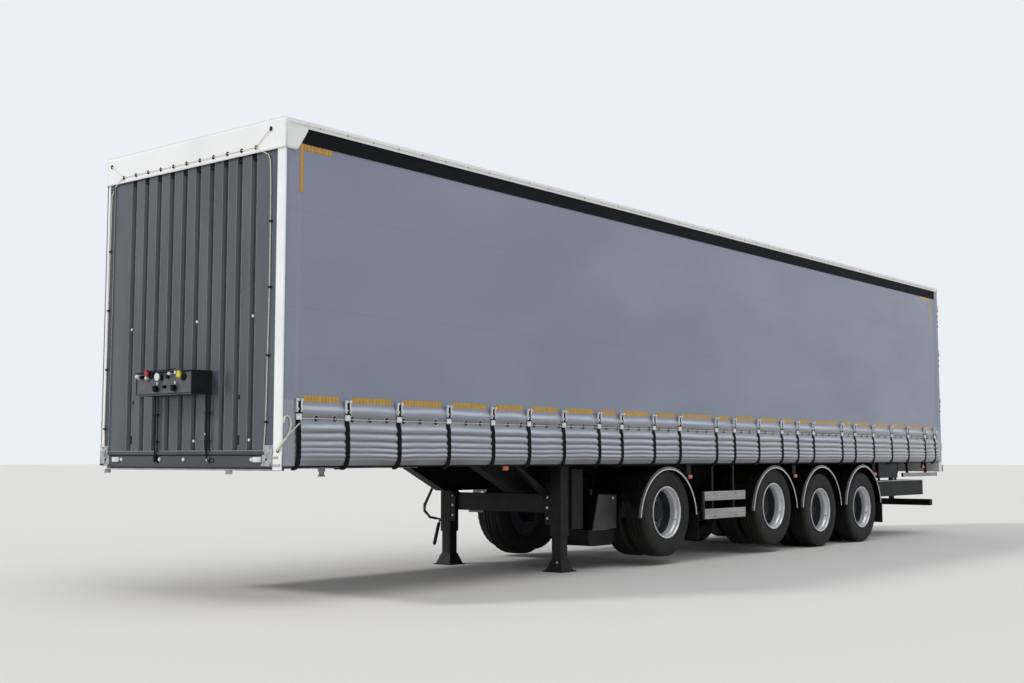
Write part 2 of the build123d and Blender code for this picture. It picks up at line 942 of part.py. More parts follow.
chamber_radius = 75
chamber_length = 150
chamber_offset = 330
chamber_rise = 20
chamber_arm = 60
with BuildPart() as brake_chambers:
    for _, place, height in axles:
        axle_front = station(place) + axle_size / 2
        for _, side in sides:
            with BuildSketch(at_x(axle_front + chamber_arm)):
                with Locations((side * chamber_offset, height + chamber_rise)):
                    RegularPolygon(chamber_radius, hub_sides)
            extrude(amount=chamber_length)
            block(
                (axle_front, axle_front + chamber_arm + 2),
                (side * (chamber_offset - chamber_arm / 2), side * (chamber_offset + chamber_arm / 2)),
                (height - 40, height + 60),
            )
save("brake_chambers", brake_chambers)

tank_radius = 130
tank_length = 800
tank_sides = 12
tank_offset = 190
tank_height = 960
tank_band = 40
tank_bar = 50
tank_x = (axle_x[1] + axle_x[2]) / 2
with BuildPart() as air_tanks:
    for _, side in sides:
        with BuildSketch(at_x(tank_x - tank_length / 2)):
            with Locations((side * tank_offset, tank_height)):
                RegularPolygon(tank_radius, tank_sides)
        extrude(amount=tank_length)
        for end in (-1, 1):
            middle = tank_x + end * tank_length / 4
            block(
                (middle - tank_band / 2, middle + tank_band / 2),
                (side * tank_offset, side * (beam_spacing - beam_plate) / 2),
                (tank_height - tank_bar / 2, tank_height + tank_bar / 2),
            )
save("air_tanks", air_tanks)

# Fenders: a many-sided arch with a side lip over each pair of tyres, on two stays
fender_height = 500
fender_radius = 632
fender_wall = 6
fender_lip = 40
fender_sides = 16
fender_rise = 60
fender_inner_face = 640
fender_outer_face = half_width - 5
stay_size = 34
stay_angle = 45
stay_inset = 60
with BuildPart() as fender:
    for y_from, inner in (
        (fender_inner_face, fender_radius - fender_wall),
        (fender_outer_face - fender_wall, fender_radius - fender_lip),
    ):
        with BuildSketch(at_y(y_from)):
            with Locations((0, fender_height)):
                for radius, mode in ((fender_radius, Mode.ADD), (inner, Mode.SUBTRACT)):
                    RegularPolygon(
                        radius,
                        fender_sides,
                        major_radius=False,
                        rotation=180 / fender_sides,
                        mode=mode,
                    )
            with Locations((0, fender_height + fender_rise - fender_radius)):
                Rectangle(3 * fender_radius, 2 * fender_radius, mode=Mode.SUBTRACT)
        extrude(amount=y_from - fender_outer_face)
    for turn in (stay_angle, 180 - stay_angle):
        reach = fender_radius + stay_size / 2
        stay_x, stay_z = reach * cos(radians(turn)), reach * sin(radians(turn))
        with BuildSketch(at_y(web_face)):
            with Locations(Location((stay_x, fender_height + stay_z), turn)):
                Rectangle(stay_size, stay_size)
        extrude(amount=web_face - fender_outer_face + stay_inset)

with BuildPart() as fenders:
    for _, side in sides:
        with Locations(*[(station(place), 0) for _, place, _ in axles]):
            add(fender.part, rotation=(0, 0, 90 - side * 90))
save("fenders", fenders)

flap_thickness = 8
flap_bottom = 260
flap_top = fender_height + fender_rise + 20
with BuildPart() as mudflaps:
    for number in (1, 4):
        flap_front = axle_x[number] - fender_radius
        for _, side in sides:
            block(
                (flap_front - flap_thickness, flap_front),
                (side * fender_inner_face, side * fender_outer_face),
                (flap_bottom, flap_top),
            )
save("mudflaps", mudflaps)

# Spare wheel, upright between the main beams behind the legs, and carried at its disc
spare_offset = -225
spare_gap = 18
spare_drop = 11
spare_disc = 25
spare_hole = 110
spare_x = leg_x - brace_depth / 2 - spare_gap - tyre_radius
spare_height = member_bottom - spare_drop - tyre_radius
spare_half = tyre_width / 2 + running_gap + flange_thickness
with BuildPart() as spare_tyre:
    with Locations((spare_x, spare_offset, spare_height)):
        add(tyre.part)
save("spare_tyre", spare_tyre)

with BuildPart() as rim:
    with BuildSketch(Plane.XZ):
        RegularPolygon(barrel_radius, barrel_sides, major_radius=False, rotation=barrel_turn)
    extrude(amount=spare_half, both=True)
    with BuildSketch(at_y(-spare_half)):
        RegularPolygon(flange_radius, rim_sides, major_radius=False, rotation=rim_turn)
    extrude(amount=-flange_thickness)
    with BuildSketch(at_y(-spare_half)):
        RegularPolygon(dish_radius, rim_sides, major_radius=False, rotation=rim_turn)
    extrude(amount=spare_disc - 2 * spare_half, mode=Mode.SUBTRACT)
    with BuildSketch(at_y(spare_half)):
        RegularPolygon(spare_hole, hub_sides)
    extrude(amount=spare_disc, mode=Mode.SUBTRACT)

with BuildPart() as spare_rim:
    with Locations((spare_x, spare_offset, spare_height)):
        add(rim.part)
save("spare_rim", spare_rim)

carrier_wall = 60
carrier_length = 680
carrier_width = 80
carrier_drop = 130
spare_face = spare_offset + spare_half
with BuildPart() as spare_carrier:
    for length, low in ((carrier_length, member_bottom - carrier_wall), (carrier_width, spare_height - carrier_drop)):
        block(
            (spare_x - length / 2, spare_x + length / 2),
            (spare_face, spare_face + carrier_wall),
            (low, member_bottom),
        )
save("spare_carrier", spare_carrier)

# Boxes under the frame, on arms that start at the web of the left main beam
arm_thickness = 30
arm_height = 40
arm_rise = 140


def hang(x, outer, low):
    """An arm from the beam's web, with a drop at its outer end down to a box."""
    arm_bottom = beam_bottom + arm_rise
    block(
        (x - arm_thickness / 2, x + arm_thickness / 2),
        (web_face, outer),
        (arm_bottom, arm_bottom + arm_height),
    )
    if low < arm_bottom:
        block(
            (x - arm_thickness / 2, x + arm_thickness / 2),
            (outer - arm_thickness, outer),
            (low, arm_bottom),
        )


tool_box_gap = 18
tool_box_inner, tool_box_outer = 600, half_width - 300
tool_box_bottom, tool_box_middle, tool_box_top = 260, 430, 820
tool_box_roof, tool_box_waist = 350, 470
tray_from, tray_to = 35, 520
tray_inset = 20
tray_round = 70
tool_box_rear = axle_x[1] + fender_radius + tool_box_gap
with BuildPart() as tool_box:
    block(
        (tool_box_rear + tray_from, tool_box_rear + tray_to),
        (tool_box_inner, tool_box_outer - tray_inset),
        (tool_box_bottom, tool_box_middle),
    )
    lower_edges = tool_box.edges().group_by(Axis.Z)[0]
    fillet(lower_edges.filter_by(Axis.Y), radius=tray_round)
    with BuildSketch(at_y(tool_box_inner)):
        with BuildLine():
            Polyline(
                (tool_box_rear, tool_box_middle),
                (tool_box_rear, tool_box_top),
                (tool_box_rear + tool_box_roof, tool_box_top),
                (tool_box_rear + tool_box_waist, tool_box_middle),
                close=True,
            )
        make_face()
    extrude(amount=tool_box_inner - tool_box_outer)
    for x in (tool_box_rear + 70, tool_box_rear + tool_box_roof - 70):
        hang(x, tool_box_inner + 100, tool_box_top)
save("tool_box", tool_box)

box_table = (
    # rear x, front x, inner y, outer y, bottom, top
    (leg_x - 295, leg_x - 95, 600, 900, 450, 1100),
    (rear_x + 350, rear_x + 2300, 760, 1080, 630, 870),
    (rear_x + 1700, rear_x + 2400, 900, 1220, 920, member_bottom),
)
hang_table = (
    # x, outer y, lowest z
    (leg_x - 195, 600, 1100),
    (rear_x + 800, 820, 870),
    (rear_x + 1450, 820, 870),
)
with BuildPart() as pallet_boxes:
    for rear, front, inner, outer, low, high in box_table:
        block((rear, front), (inner, outer), (low, high))
    for x, outer, low in hang_table:
        hang(x, outer, low)
save("pallet_boxes", pallet_boxes)

# Side guards: two rails between the first axles, one rail at the tail, on posts
rail_thickness = 28
guard_face = half_width - 30
guard_post_width = 40
first_rail_front = axle_x[1] - fender_radius - 180
first_rail_rear = axle_x[2] + fender_radius + 130
first_rail_length = first_rail_front - first_rail_rear
guard_rails = (
    # rear x, front x, bottom, top
    (first_rail_rear, first_rail_front, 710, 820),
    (first_rail_rear, first_rail_front, 490, 610),
    (rear_x + 140, rear_x + 1540, 930, 990),
)
guard_posts = (
    # x, bottom
    (first_rail_rear + 0.25 * first_rail_length, 490),
    (first_rail_rear + 0.75 * first_rail_length, 490),
    (rear_x + 520, 930),
    (rear_x + 1270, 930),
)
with BuildPart() as side_guards:
    for _, side in sides:
        for rear, front, low, high in guard_rails:
            block((rear, front), (side * (guard_face - rail_thickness), side * guard_face), (low, high))
        for x, low in guard_posts:
            block(
                (x - guard_post_width / 2, x + guard_post_width / 2),
                (side * outrigger_end, side * (guard_face - rail_thickness)),
                (low, rave_bottom),
            )
save("side_guards", side_guards)

# Side markers, each on a small plate below the rave
marker_length = 110
marker_height = 42
marker_depth = 24
marker_plate = 4
marker_table = (
    # x, height of the middle
    (station(0.2063 * body_length), rave_bottom - 25),
    (axle_x[1] - 560, rave_bottom - 150),
    ((axle_x[2] + axle_x[3]) / 2, rave_bottom - 170),
    (rear_x + 2500, rave_bottom - 170),
    (rear_x + 630, rave_bottom - 70),
)
with BuildPart() as marker_lamps:
    for _, side in sides:
        plate_face = side * (outrigger_end + 5)
        for x, height in marker_table:
            with BuildSketch(at_x(x - marker_length / 2)):
                with BuildLine():
                    Polyline(
                        (plate_face, rave_bottom),
                        (plate_face, height - marker_height / 2),
                        (plate_face + side * marker_depth, height - marker_height / 2),
                        (plate_face + side * marker_depth, height + marker_height / 2),
                        (plate_face + side * marker_plate, height + marker_height / 2),
                        (plate_face + side * marker_plate, rave_bottom),
                        close=True,
                    )
                make_face()
            extrude(amount=marker_length)
save("marker_lamps", marker_lamps)
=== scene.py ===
import json
from math import ceil, cos, exp, pi, radians, sin

import bmesh
import bpy
from mathutils import Matrix, Vector, noise


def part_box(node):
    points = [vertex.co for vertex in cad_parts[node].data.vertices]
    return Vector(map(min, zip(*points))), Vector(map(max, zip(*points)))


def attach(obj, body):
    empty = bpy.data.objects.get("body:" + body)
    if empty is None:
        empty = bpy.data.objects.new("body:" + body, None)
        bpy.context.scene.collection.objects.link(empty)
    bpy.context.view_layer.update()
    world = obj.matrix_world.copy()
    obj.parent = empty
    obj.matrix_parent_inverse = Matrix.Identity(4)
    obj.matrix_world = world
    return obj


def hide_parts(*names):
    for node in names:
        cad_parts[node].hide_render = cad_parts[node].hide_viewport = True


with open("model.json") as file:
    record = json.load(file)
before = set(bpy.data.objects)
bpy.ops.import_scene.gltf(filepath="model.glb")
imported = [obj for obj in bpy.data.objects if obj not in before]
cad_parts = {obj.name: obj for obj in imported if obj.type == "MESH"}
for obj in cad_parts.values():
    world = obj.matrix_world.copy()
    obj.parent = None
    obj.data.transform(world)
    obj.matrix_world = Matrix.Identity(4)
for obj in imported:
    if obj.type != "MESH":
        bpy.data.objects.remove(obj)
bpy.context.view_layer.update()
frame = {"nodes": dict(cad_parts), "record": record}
NODES = frame["nodes"]
SIDES = (("left", 1), ("right", -1))
AHEAD = Vector((1, 0, 0))

# Camera: the place of the photographer's eye, in metres, and the way that the lens points
camera_data = bpy.data.cameras.new("camera")
camera_data.sensor_width = 36
camera_data.lens = 45.58
camera = bpy.data.objects.new("camera", camera_data)
camera.location = (14.023, 9.369, 1.23)
camera.rotation_mode = "QUATERNION"
camera.rotation_quaternion = Vector((-0.7722, -0.6291, 0.0891)).to_track_quat("-Z", "Y")
bpy.context.scene.collection.objects.link(camera)
bpy.context.scene.camera = camera
bpy.context.scene.view_settings.view_transform = "Standard"


# Materials
def srgb(*tone):
    """A colour as it reads on the screen, from 0 to 255, turned to the linear values of a shader."""
    shares = [value / 255 for value in tone]
    return (*(s / 12.92 if s <= 0.04045 else ((s + 0.055) / 1.055) ** 2.4 for s in shares), 1.0)


def feed(tree, socket, value):
    """Links an input where its value is a socket, and sets it where it is a number or a colour."""
    if isinstance(value, bpy.types.NodeSocket):
        tree.links.new(value, socket)
    else:
        socket.default_value = value


def add(tree, kind, options=(), **inputs):
    """A new shader node with its options and inputs. from_min stands for the input From Min."""
    made = tree.nodes.new(f"ShaderNode{kind}")
    for option, value in options:
        setattr(made, option, value)
    for key, value in inputs.items():
        feed(tree, made.inputs[key.replace("_", " ").title()], value)
    return made


def maths(tree, operation, *values):
    made = add(tree, "Math", (("operation", operation),))
    for socket, value in zip(made.inputs, values):
        feed(tree, socket, value)
    return made.outputs["Value"]


def ranged(tree, value, low, high, to_low=0.0, to_high=1.0):
    """A value taken from one range to another, and held at its ends."""
    made = add(tree, "MapRange", from_min=low, from_max=high, to_min=to_low, to_max=to_high, value=value)
    return made.outputs["Result"]


def clouds(tree, vector, scale, detail, roughness=0.5):
    made = add(tree, "TexNoise", scale=scale, detail=detail, roughness=roughness, vector=vector)
    return made.outputs["Fac"]


def mixed(tree, factor, colour, other):
    return add(tree, "Mix", (("data_type", "RGBA"),), factor=factor, a=colour, b=other).outputs["Result"]


def new_tree(datablock):
    datablock.use_nodes = True
    return datablock.node_tree


def material(name, dark, light, rough, metallic=0.0, scale=6.0, stretch=(1, 1, 1), fine=60.0, bump=0.15,
             bump_depth=0.002, detail=5.0, coat=0.0, dust=0.0, extra=None, specular=0.5):
    """A finish: two tones mixed by coarse noise, fine noise in roughness and bump, and dust where asked."""
    made = bpy.data.materials.new(name)
    tree = new_tree(made)
    shader = tree.nodes["Principled BSDF"]
    place = tree.nodes.new("ShaderNodeTexCoord").outputs["Object"]
    along = add(tree, "Mapping", scale=stretch, vector=place).outputs["Vector"]
    ramp = add(tree, "ValToRGB", fac=clouds(tree, along, scale, detail))
    for stop, position, tone in zip(ramp.color_ramp.elements, (0.36, 0.64), (dark, light)):
        stop.position, stop.color = position, srgb(*tone)
    grain = clouds(tree, along, fine, 4.0)
    raised = add(tree, "Bump", strength=bump, distance=bump_depth, height=grain).outputs["Normal"]
    for socket, value in (
        ("Metallic", metallic), ("Specular IOR Level", specular), ("Coat Weight", coat), ("Normal", raised),
        ("Coat Roughness", 0.15), ("Roughness", ranged(tree, grain, 0.3, 0.7, *rough)),
    ):
        feed(tree, shader.inputs[socket], value)
    colour = ramp.outputs["Color"]
    if dust:
        cloud = clouds(tree, place, 2.3, 7.0, 0.65)
        colour = mixed(tree, ranged(tree, cloud, 0.45, 0.75, 0.0, dust), colour, srgb(*DUST))
    if extra:
        colour = extra(tree, place, colour, raised)
    feed(tree, shader.inputs["Base Color"], colour)
    return made


def striped(axis, pitch, share, amount, tone):
    """The extra of a finish: lines of a tone, a pitch apart along an axis, each a share of the pitch wide."""
    def extra(tree, place, colour, raised):
        along = add(tree, "SeparateXYZ", vector=place).outputs[axis]
        lines = maths(tree, "LESS_THAN", maths(tree, "FRACT", maths(tree, "DIVIDE", along, pitch)), share)
        return mixed(tree, maths(tree, "MULTIPLY", lines, amount), colour, srgb(*tone))
    return extra


def weave(tree, place, colour, raised):
    """Coated cloth: a fine plain weave under the coating, and the faint lines of welded laps."""
    cloth = add(tree, "TexWave", (("bands_direction", "Z"),), scale=95.0, distortion=1.2, vector=place)
    fine = add(tree, "Bump", strength=0.02, distance=0.0003, height=cloth.outputs["Fac"], normal=raised)
    feed(tree, tree.nodes["Principled BSDF"].inputs["Normal"], fine.outputs["Normal"])
    return striped("Z", 0.82, 0.014, 0.12, (96, 102, 116))(tree, place, colour, raised)


DUST = (150, 140, 124)
LENS_GRID = striped("Z", 0.012, 0.3, 0.35, (90, 18, 10))
FINISHES = {
    # the darker and the lighter tone, the range of roughness, and what departs from a plain finish
    "body_white": ((240, 241, 240), (249, 249, 248), (0.28, 0.4),
                   dict(scale=3, fine=30, bump=0.04, coat=0.3, dust=0.03)),
    "headboard_slate": ((66, 71, 79), (78, 84, 92), (0.3, 0.44),
                        dict(scale=2.5, stretch=(1, 1, 0.3), fine=26, bump=0.05, coat=0.2, dust=0.03)),
    "band_slate": ((14, 15, 18), (20, 21, 25), (0.6, 0.75),
                   dict(scale=4, stretch=(0.2, 1, 1), fine=40, bump=0.06, specular=0.1)),
    # near-black: the frame's own dark paint, darkened further as painted shade under the trailer
    "frame_grey": ((16, 16, 18), (24, 25, 26), (0.4, 0.6),
                   dict(scale=5, fine=45, bump=0.12, dust=0.02, specular=0.15)),
    "leg_grey": ((25, 25, 25), (36, 35, 34), (0.38, 0.6), dict(scale=7, bump=0.14, dust=0.03, specular=0.2)),
    "axle_black": ((15, 15, 16), (24, 24, 25), (0.45, 0.65),
                   dict(scale=9, fine=70, bump=0.25, dust=0.03, specular=0.2)),
    "box_grey": ((28, 29, 30), (37, 38, 39), (0.42, 0.6), dict(scale=5, fine=90, dust=0.02, specular=0.15)),
    "door_panel": ((228, 230, 230), (236, 237, 236), (0.3, 0.42),
                   dict(scale=2, fine=24, bump=0.04, coat=0.2, dust=0.03)),
    "bare_steel": ((108, 108, 108), (152, 150, 147), (0.28, 0.5),
                   dict(metallic=0.9, scale=12, fine=120, bump=0.2)),
    "galvanised": ((150, 153, 156), (188, 191, 193), (0.35, 0.55),
                   dict(metallic=0.6, scale=26, bump=0.1, detail=2)),
    "aluminium": ((150, 152, 149), (178, 179, 175), (0.3, 0.46),
                  dict(metallic=0.65, scale=4, stretch=(0.15, 3, 3), fine=80, bump=0.1, dust=0.14)),
    "rim_silver": ((208, 210, 214), (224, 225, 228), (0.2, 0.3),
                   dict(metallic=0.25, scale=3, fine=7, bump=0.02, coat=0.3, dust=0.04)),
    "curtain_fabric": ((124, 131, 150), (135, 142, 161), (0.33, 0.4),
                       dict(scale=0.7, stretch=(0.6, 1, 1.4), fine=4, bump=0.02, bump_depth=0.003, coat=0.3,
                            extra=weave, specular=0.6)),
    "roof_fabric": ((238, 238, 237), (246, 246, 245), (0.36, 0.5),
                    dict(scale=1.2, fine=16, bump=0.12, bump_depth=0.006, dust=0.06)),
    "webbing": ((9, 9, 10), (14, 14, 15), (0.7, 0.85),
                dict(scale=30, fine=160, bump=0.2, specular=0.15,
                     extra=striped("Z", 0.006, 0.4, 0.5, (20, 20, 21)))),
    "plywood": ((92, 70, 50), (120, 94, 68), (0.5, 0.65),
                dict(scale=5, stretch=(0.25, 3, 1), fine=80, bump=0.2,
                     extra=striped("X", 1.25, 0.004, 1.0, (48, 36, 26)))),
    "tyre": ((26, 26, 25), (34, 33, 31), (0.5, 0.72),
             dict(scale=9, fine=90, bump=0.3, bump_depth=0.0015, dust=0.04, specular=0.2)),
    "black_rubber": ((16, 16, 17), (24, 24, 25), (0.55, 0.75),
                     dict(scale=12, fine=120, bump=0.2, dust=0.03, specular=0.2)),
    "black_plastic": ((15, 15, 16), (21, 21, 22), (0.14, 0.24),
                      dict(scale=10, bump=0.04, bump_depth=0.0006, coat=0.6, dust=0.01)),
    "lamp_red": ((150, 22, 14), (176, 30, 18), (0.1, 0.2),
                 dict(scale=20, bump=0.04, coat=0.6, extra=LENS_GRID)),
    "lamp_amber": ((212, 82, 24), (228, 98, 30), (0.1, 0.2),
                   dict(scale=20, bump=0.04, coat=0.6, extra=LENS_GRID)),
    "lamp_clear": ((206, 210, 212), (232, 234, 234), (0.08, 0.16),
                   dict(scale=30, fine=80, bump=0.05, coat=0.7)),
    "reflective_yellow": ((182, 134, 4), (198, 152, 16), (0.3, 0.42),
                          dict(scale=18, fine=120, bump=0.08, coat=0.5,
                               extra=striped("X", 0.04, 0.22, 0.6, (122, 88, 20)))),
    "trim_white": ((214, 216, 216), (232, 233, 232), (0.25, 0.4), dict(scale=14, fine=90, bump=0.05)),
    # painted shade: a dark grey standing in for silver steel that lies in shadow deep in a wheel, with a
    # little dust
    "rim_painted_shade": ((38, 41, 47), (54, 58, 65), (0.3, 0.45),
                        dict(scale=5, fine=20, bump=0.05, dust=0.02)),
    "panel_grey": ((76, 79, 82), (88, 91, 94), (0.35, 0.5), dict(scale=7, fine=80, bump=0.08)),
    "buckle_zinc": ((212, 216, 220), (240, 242, 243), (0.2, 0.32),
                    dict(metallic=0.3, scale=60, fine=240, bump=0.08)),
    "cord_cream": ((206, 200, 182), (224, 219, 204), (0.4, 0.55), dict(scale=40, fine=300, bump=0.2)),
    "socket_black": ((9, 9, 10), (16, 16, 17), (0.5, 0.7), dict(scale=30, fine=200, bump=0.1, specular=0.15)),
    "coupling_red": ((158, 22, 24), (184, 30, 30), (0.25, 0.38),
                     dict(scale=30, fine=160, bump=0.08, coat=0.3)),
    "coupling_yellow": ((220, 192, 24), (236, 210, 44), (0.25, 0.38),
                        dict(scale=30, fine=160, bump=0.08, coat=0.3)),
    # painted shade on the floors of the headboard's grooves
    "groove_painted_shade": ((40, 43, 48), (50, 54, 60), (0.45, 0.6), dict(bump=0.05, specular=0.2)),
    "sill_slate": ((54, 57, 61), (64, 67, 71), (0.34, 0.5),
                   dict(scale=3, stretch=(1, 0.3, 1), fine=40, bump=0.05, coat=0.1)),
    # painted highlights along the edges of the headboard's grooves
    "edge_painted_highlight": ((112, 118, 126), (132, 138, 146), (0.4, 0.55), dict(scale=22, fine=120, bump=0.06)),
    "box_panel": ((48, 48, 48), (62, 61, 60), (0.4, 0.55), dict(fine=90, bump=0.1)),
}
MATERIALS = {name: material(name, *row[:3], **row[3]) for name, row in FINISHES.items()}


# Mesh helpers
class Shape:
    """Solids gathered in one mesh, which then becomes one piece."""

    def __init__(self):
        self.mesh = bmesh.new()

    def box(self, low, high, bevel=0.002, steps=1):
        """A block with rounded edges between two corners."""
        low, high = Vector(map(min, low, high)), Vector(map(max, low, high))
        size = high - low
        place = Matrix.Translation((low + high) / 2) @ Matrix.Diagonal((*size, 1))
        made = bmesh.ops.create_cube(self.mesh, size=1.0, matrix=place)["verts"]
        width = min(bevel, 0.45 * min(size))
        if width > 0:
            edges = list({edge for vert in made for edge in vert.link_edges})
            bmesh.ops.bevel(self.mesh, geom=edges, offset=width, segments=steps, affect="EDGES", profile=0.5)

    def turned(self, origin, axis, profile, steps=24, start=0.0, sweep=2 * pi,
               close_profile=False, shift=None):
        """Profile points (along, radius) turned about an axis. shift may move the points of a step."""
        origin, axis = Vector(origin), Vector(axis).normalized()
        first = Vector((1, 0, 0)) if abs(axis.y) > 0.9 else axis.orthogonal().normalized()
        second = axis.cross(first)
        full = abs(sweep - 2 * pi) < 1e-6
        rings = []
        for step in range(steps if full else steps + 1):
            angle = start + sweep * step / steps
            out = first * cos(angle) + second * sin(angle)
            places = [shift(step, *place) for place in profile] if shift else profile
            rings.append([self.mesh.verts.new(origin + axis * a + out * r) for a, r in places])
        count = len(profile)
        for step in range(steps):
            near, far = rings[step], rings[(step + 1) % len(rings)]
            for n in range(count if close_profile else count - 1):
                m = (n + 1) % count
                if profile[n][1] > 1e-6 or profile[m][1] > 1e-6:
                    self.mesh.faces.new((near[n], near[m], far[m], far[n]))
        if not full and close_profile:
            self.mesh.faces.new(rings[0])
            self.mesh.faces.new(list(reversed(rings[-1])))

    def disc(self, origin, axis, radius, depth, steps=20, edge=0.002):
        """A short cylinder with a softened outer edge, from its origin along its axis."""
        edge = min(edge, depth * 0.45, radius * 0.45)
        profile = [(0, 0), (0, radius), (depth - edge, radius), (depth, radius - edge), (depth, 0)]
        self.turned(origin, axis, profile, steps)

    def nut(self, origin, axis, radius, depth):
        self.disc(origin, axis, radius, depth, 6, depth * 0.25)

    def ring(self, origin, axis, radius, tube, steps=16, sides=6):
        profile = [(tube * cos(a), radius + tube * sin(a)) for a in angles(sides)]
        self.turned(origin, axis, profile, steps, close_profile=True)

    def loft(self, rings):
        """Rings of equally many points, joined in their order and closed at both ends."""
        rings = [[self.mesh.verts.new(p) for p in ring] for ring in rings]
        for near, far in zip(rings, rings[1:]):
            for n in range(len(near)):
                m = (n + 1) % len(near)
                self.mesh.faces.new((near[n], near[m], far[m], far[n]))
        self.mesh.faces.new(list(reversed(rings[0])))
        self.mesh.faces.new(rings[-1])

    def tube(self, points, radius, sides=8):
        """A round tube along points."""
        points = [Vector(p) for p in points]
        rings, normal = [], None
        for n, point in enumerate(points):
            ahead = (points[min(n + 1, len(points) - 1)] - points[max(n - 1, 0)]).normalized()
            normal = ahead.orthogonal() if normal is None else normal - ahead * normal.dot(ahead)
            normal.normalize()
            across = ahead.cross(normal)
            rings.append([point + (normal * cos(a) + across * sin(a)) * radius for a in angles(sides)])
        self.loft(rings)

    def prism(self, outline, direction):
        """A flat outline pushed along a direction."""
        self.loft([[Vector(p) for p in outline], [Vector(p) + Vector(direction) for p in outline]])

    def strip(self, edges, thick):
        """A flat band between two rows of points, given its thickness in one direction."""
        self.loft([(low, high, high + thick, low + thick) for low, high in edges])

    def mirror(self):
        """Adds the same on the trailer's other side."""
        parts = [*self.mesh.verts, *self.mesh.edges, *self.mesh.faces]
        copies = bmesh.ops.duplicate(self.mesh, geom=parts)["geom"]
        verts = [made for made in copies if isinstance(made, bmesh.types.BMVert)]
        bmesh.ops.scale(self.mesh, vec=(1, -1, 1), verts=verts)

    def piece(self, name, finish, body="trailer", replaces=(), slot=None, angle=32):
        """Ends the shape: cleaned, shaded, given its finish and put on its body."""
        bmesh.ops.remove_doubles(self.mesh, verts=self.mesh.verts, dist=1e-6)
        bmesh.ops.recalc_face_normals(self.mesh, faces=self.mesh.faces)
        data = bpy.data.meshes.new(name)
        self.mesh.to_mesh(data)
        self.mesh.free()
        made = placed(data, finish, angle)
        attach(made, body)
        if replaces:
            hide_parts(*replaces)
        return made


def shapes(count):
    return [Shape() for _ in range(count)]


def mm(*points):
    """The points of a profile, which are written in millimetres."""
    return [(along / 1000, radius / 1000) for along, radius in points]


def plug(radius, depth, end=None):
    """The profile of a plain cylinder, or of one whose face runs out to an end further along."""
    return [(0, 0), (0, radius), (depth, radius), (depth if end is None else end, 0)]


def angles(steps, sweep=2 * pi):
    return [sweep * n / steps for n in range(steps)]


def middle(values):
    """The middles of the pairs that sorted edges make."""
    return [(a + b) / 2 for a, b in zip(values[::2], values[1::2])]


def eased(share):
    """A share held between 0 and 1, with soft ends."""
    share = min(1.0, max(0.0, share))
    return share * share * (3 - 2 * share)


def placed(data, finish, angle):
    """A mesh in the scene, smooth up to an angle, with its finish."""
    data.shade_smooth()
    data.set_sharp_from_angle(angle=radians(angle))
    made = bpy.data.objects.new(data.name, data)
    bpy.context.scene.collection.objects.link(made)
    data.materials.append(MATERIALS[finish])
    return made


def grid_sheet(name, points, finish, thickness, offset=-1.0, angle=60, lower=None, lower_rows=0):
    """A sheet from rows of points with thickness behind its face. Its first rows may take another finish."""
    rows, columns = len(points), len(points[0])
    data = bpy.data.meshes.new(name)
    corners = [r * columns + c for r in range(rows - 1) for c in range(columns - 1)]
    faces = [(n, n + 1, n + columns + 1, n + columns) for n in corners]
    data.from_pydata([tuple(p) for row in points for p in row], [], faces)
    made = placed(data, finish, angle)
    if lower:
        data.materials.append(MATERIALS[lower])
        for face in data.polygons[: lower_rows * (columns - 1)]:
            face.material_index = 1
    solid = made.modifiers.new("cloth_thickness", "SOLIDIFY")
    solid.thickness = thickness
    solid.offset = offset
    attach(made, "trailer")
    return made


# Places taken from the frame
def spots(node):
    return [vertex.co for vertex in NODES[node].data.vertices]


def levels(points, axis):
    """The different places along an axis, in order."""
    return sorted({round(p[axis], 3) for p in points})


body_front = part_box("front_posts")[1].x
body_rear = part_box("rear_frame")[0].x
half_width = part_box("front_posts")[1].y
curtain_low, curtain_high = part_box("curtain_left")
curtain_face = curtain_high.y - 0.001
strap_x = middle(levels(spots("straps"), 0))
floor_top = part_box("floor_deck")[1].z
rave_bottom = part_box("side_raves")[0].z
sill_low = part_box("front_sill")[0].z
WHEELS = [(number, name) for number in (1, 2, 3, 4) for name, side in SIDES]
wheel_boxes = {(number, name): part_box(f"rims_{number}_{name}") for number, name in WHEELS}


def from_front(distance):
    """The x of a place so far behind the front face."""
    return body_front - distance


# Curtains: flat above, and drawn over horizontal ribs below, where each strap pulls them in
RIBS = (
    # height, how far the cloth stands out, in metres: each rib starts with a slope that faces up
    (1.69, 0.0), (1.66, 0.002), (1.622, 0.02), (1.6, 0.02), (1.535, 0.011), (1.505, 0.012), (1.47, 0.031),
    (1.452, 0.029), (1.43, 0.017), (1.4, 0.035), (1.382, 0.033), (1.362, 0.021), (1.334, 0.037),
    (1.32, 0.035), (1.308, 0.026), (1.288, 0.038), (1.275, 0.036), (1.264, 0.027), (1.243, 0.036),
    (1.232, 0.032), (1.222, 0.024), (1.208, 0.027), (1.192, 0.016), (1.176, 0.002), (1.16, -0.009),
    (1.12, -0.03),
)


def rib_offset(height):
    if height >= RIBS[0][0]:
        return 0.0
    for (upper, out_up), (lower, out_low) in zip(RIBS, RIBS[1:]):
        if height >= lower:
            return out_up + (out_low - out_up) * eased((upper - height) / (upper - lower))
    return RIBS[-1][1]


def over_post(x):
    """How far a place is on its way to a corner post, from 0 on the bays to 1 on the post."""
    return eased(1 + max(x - curtain_high.x, curtain_low.x - x) / 0.05)


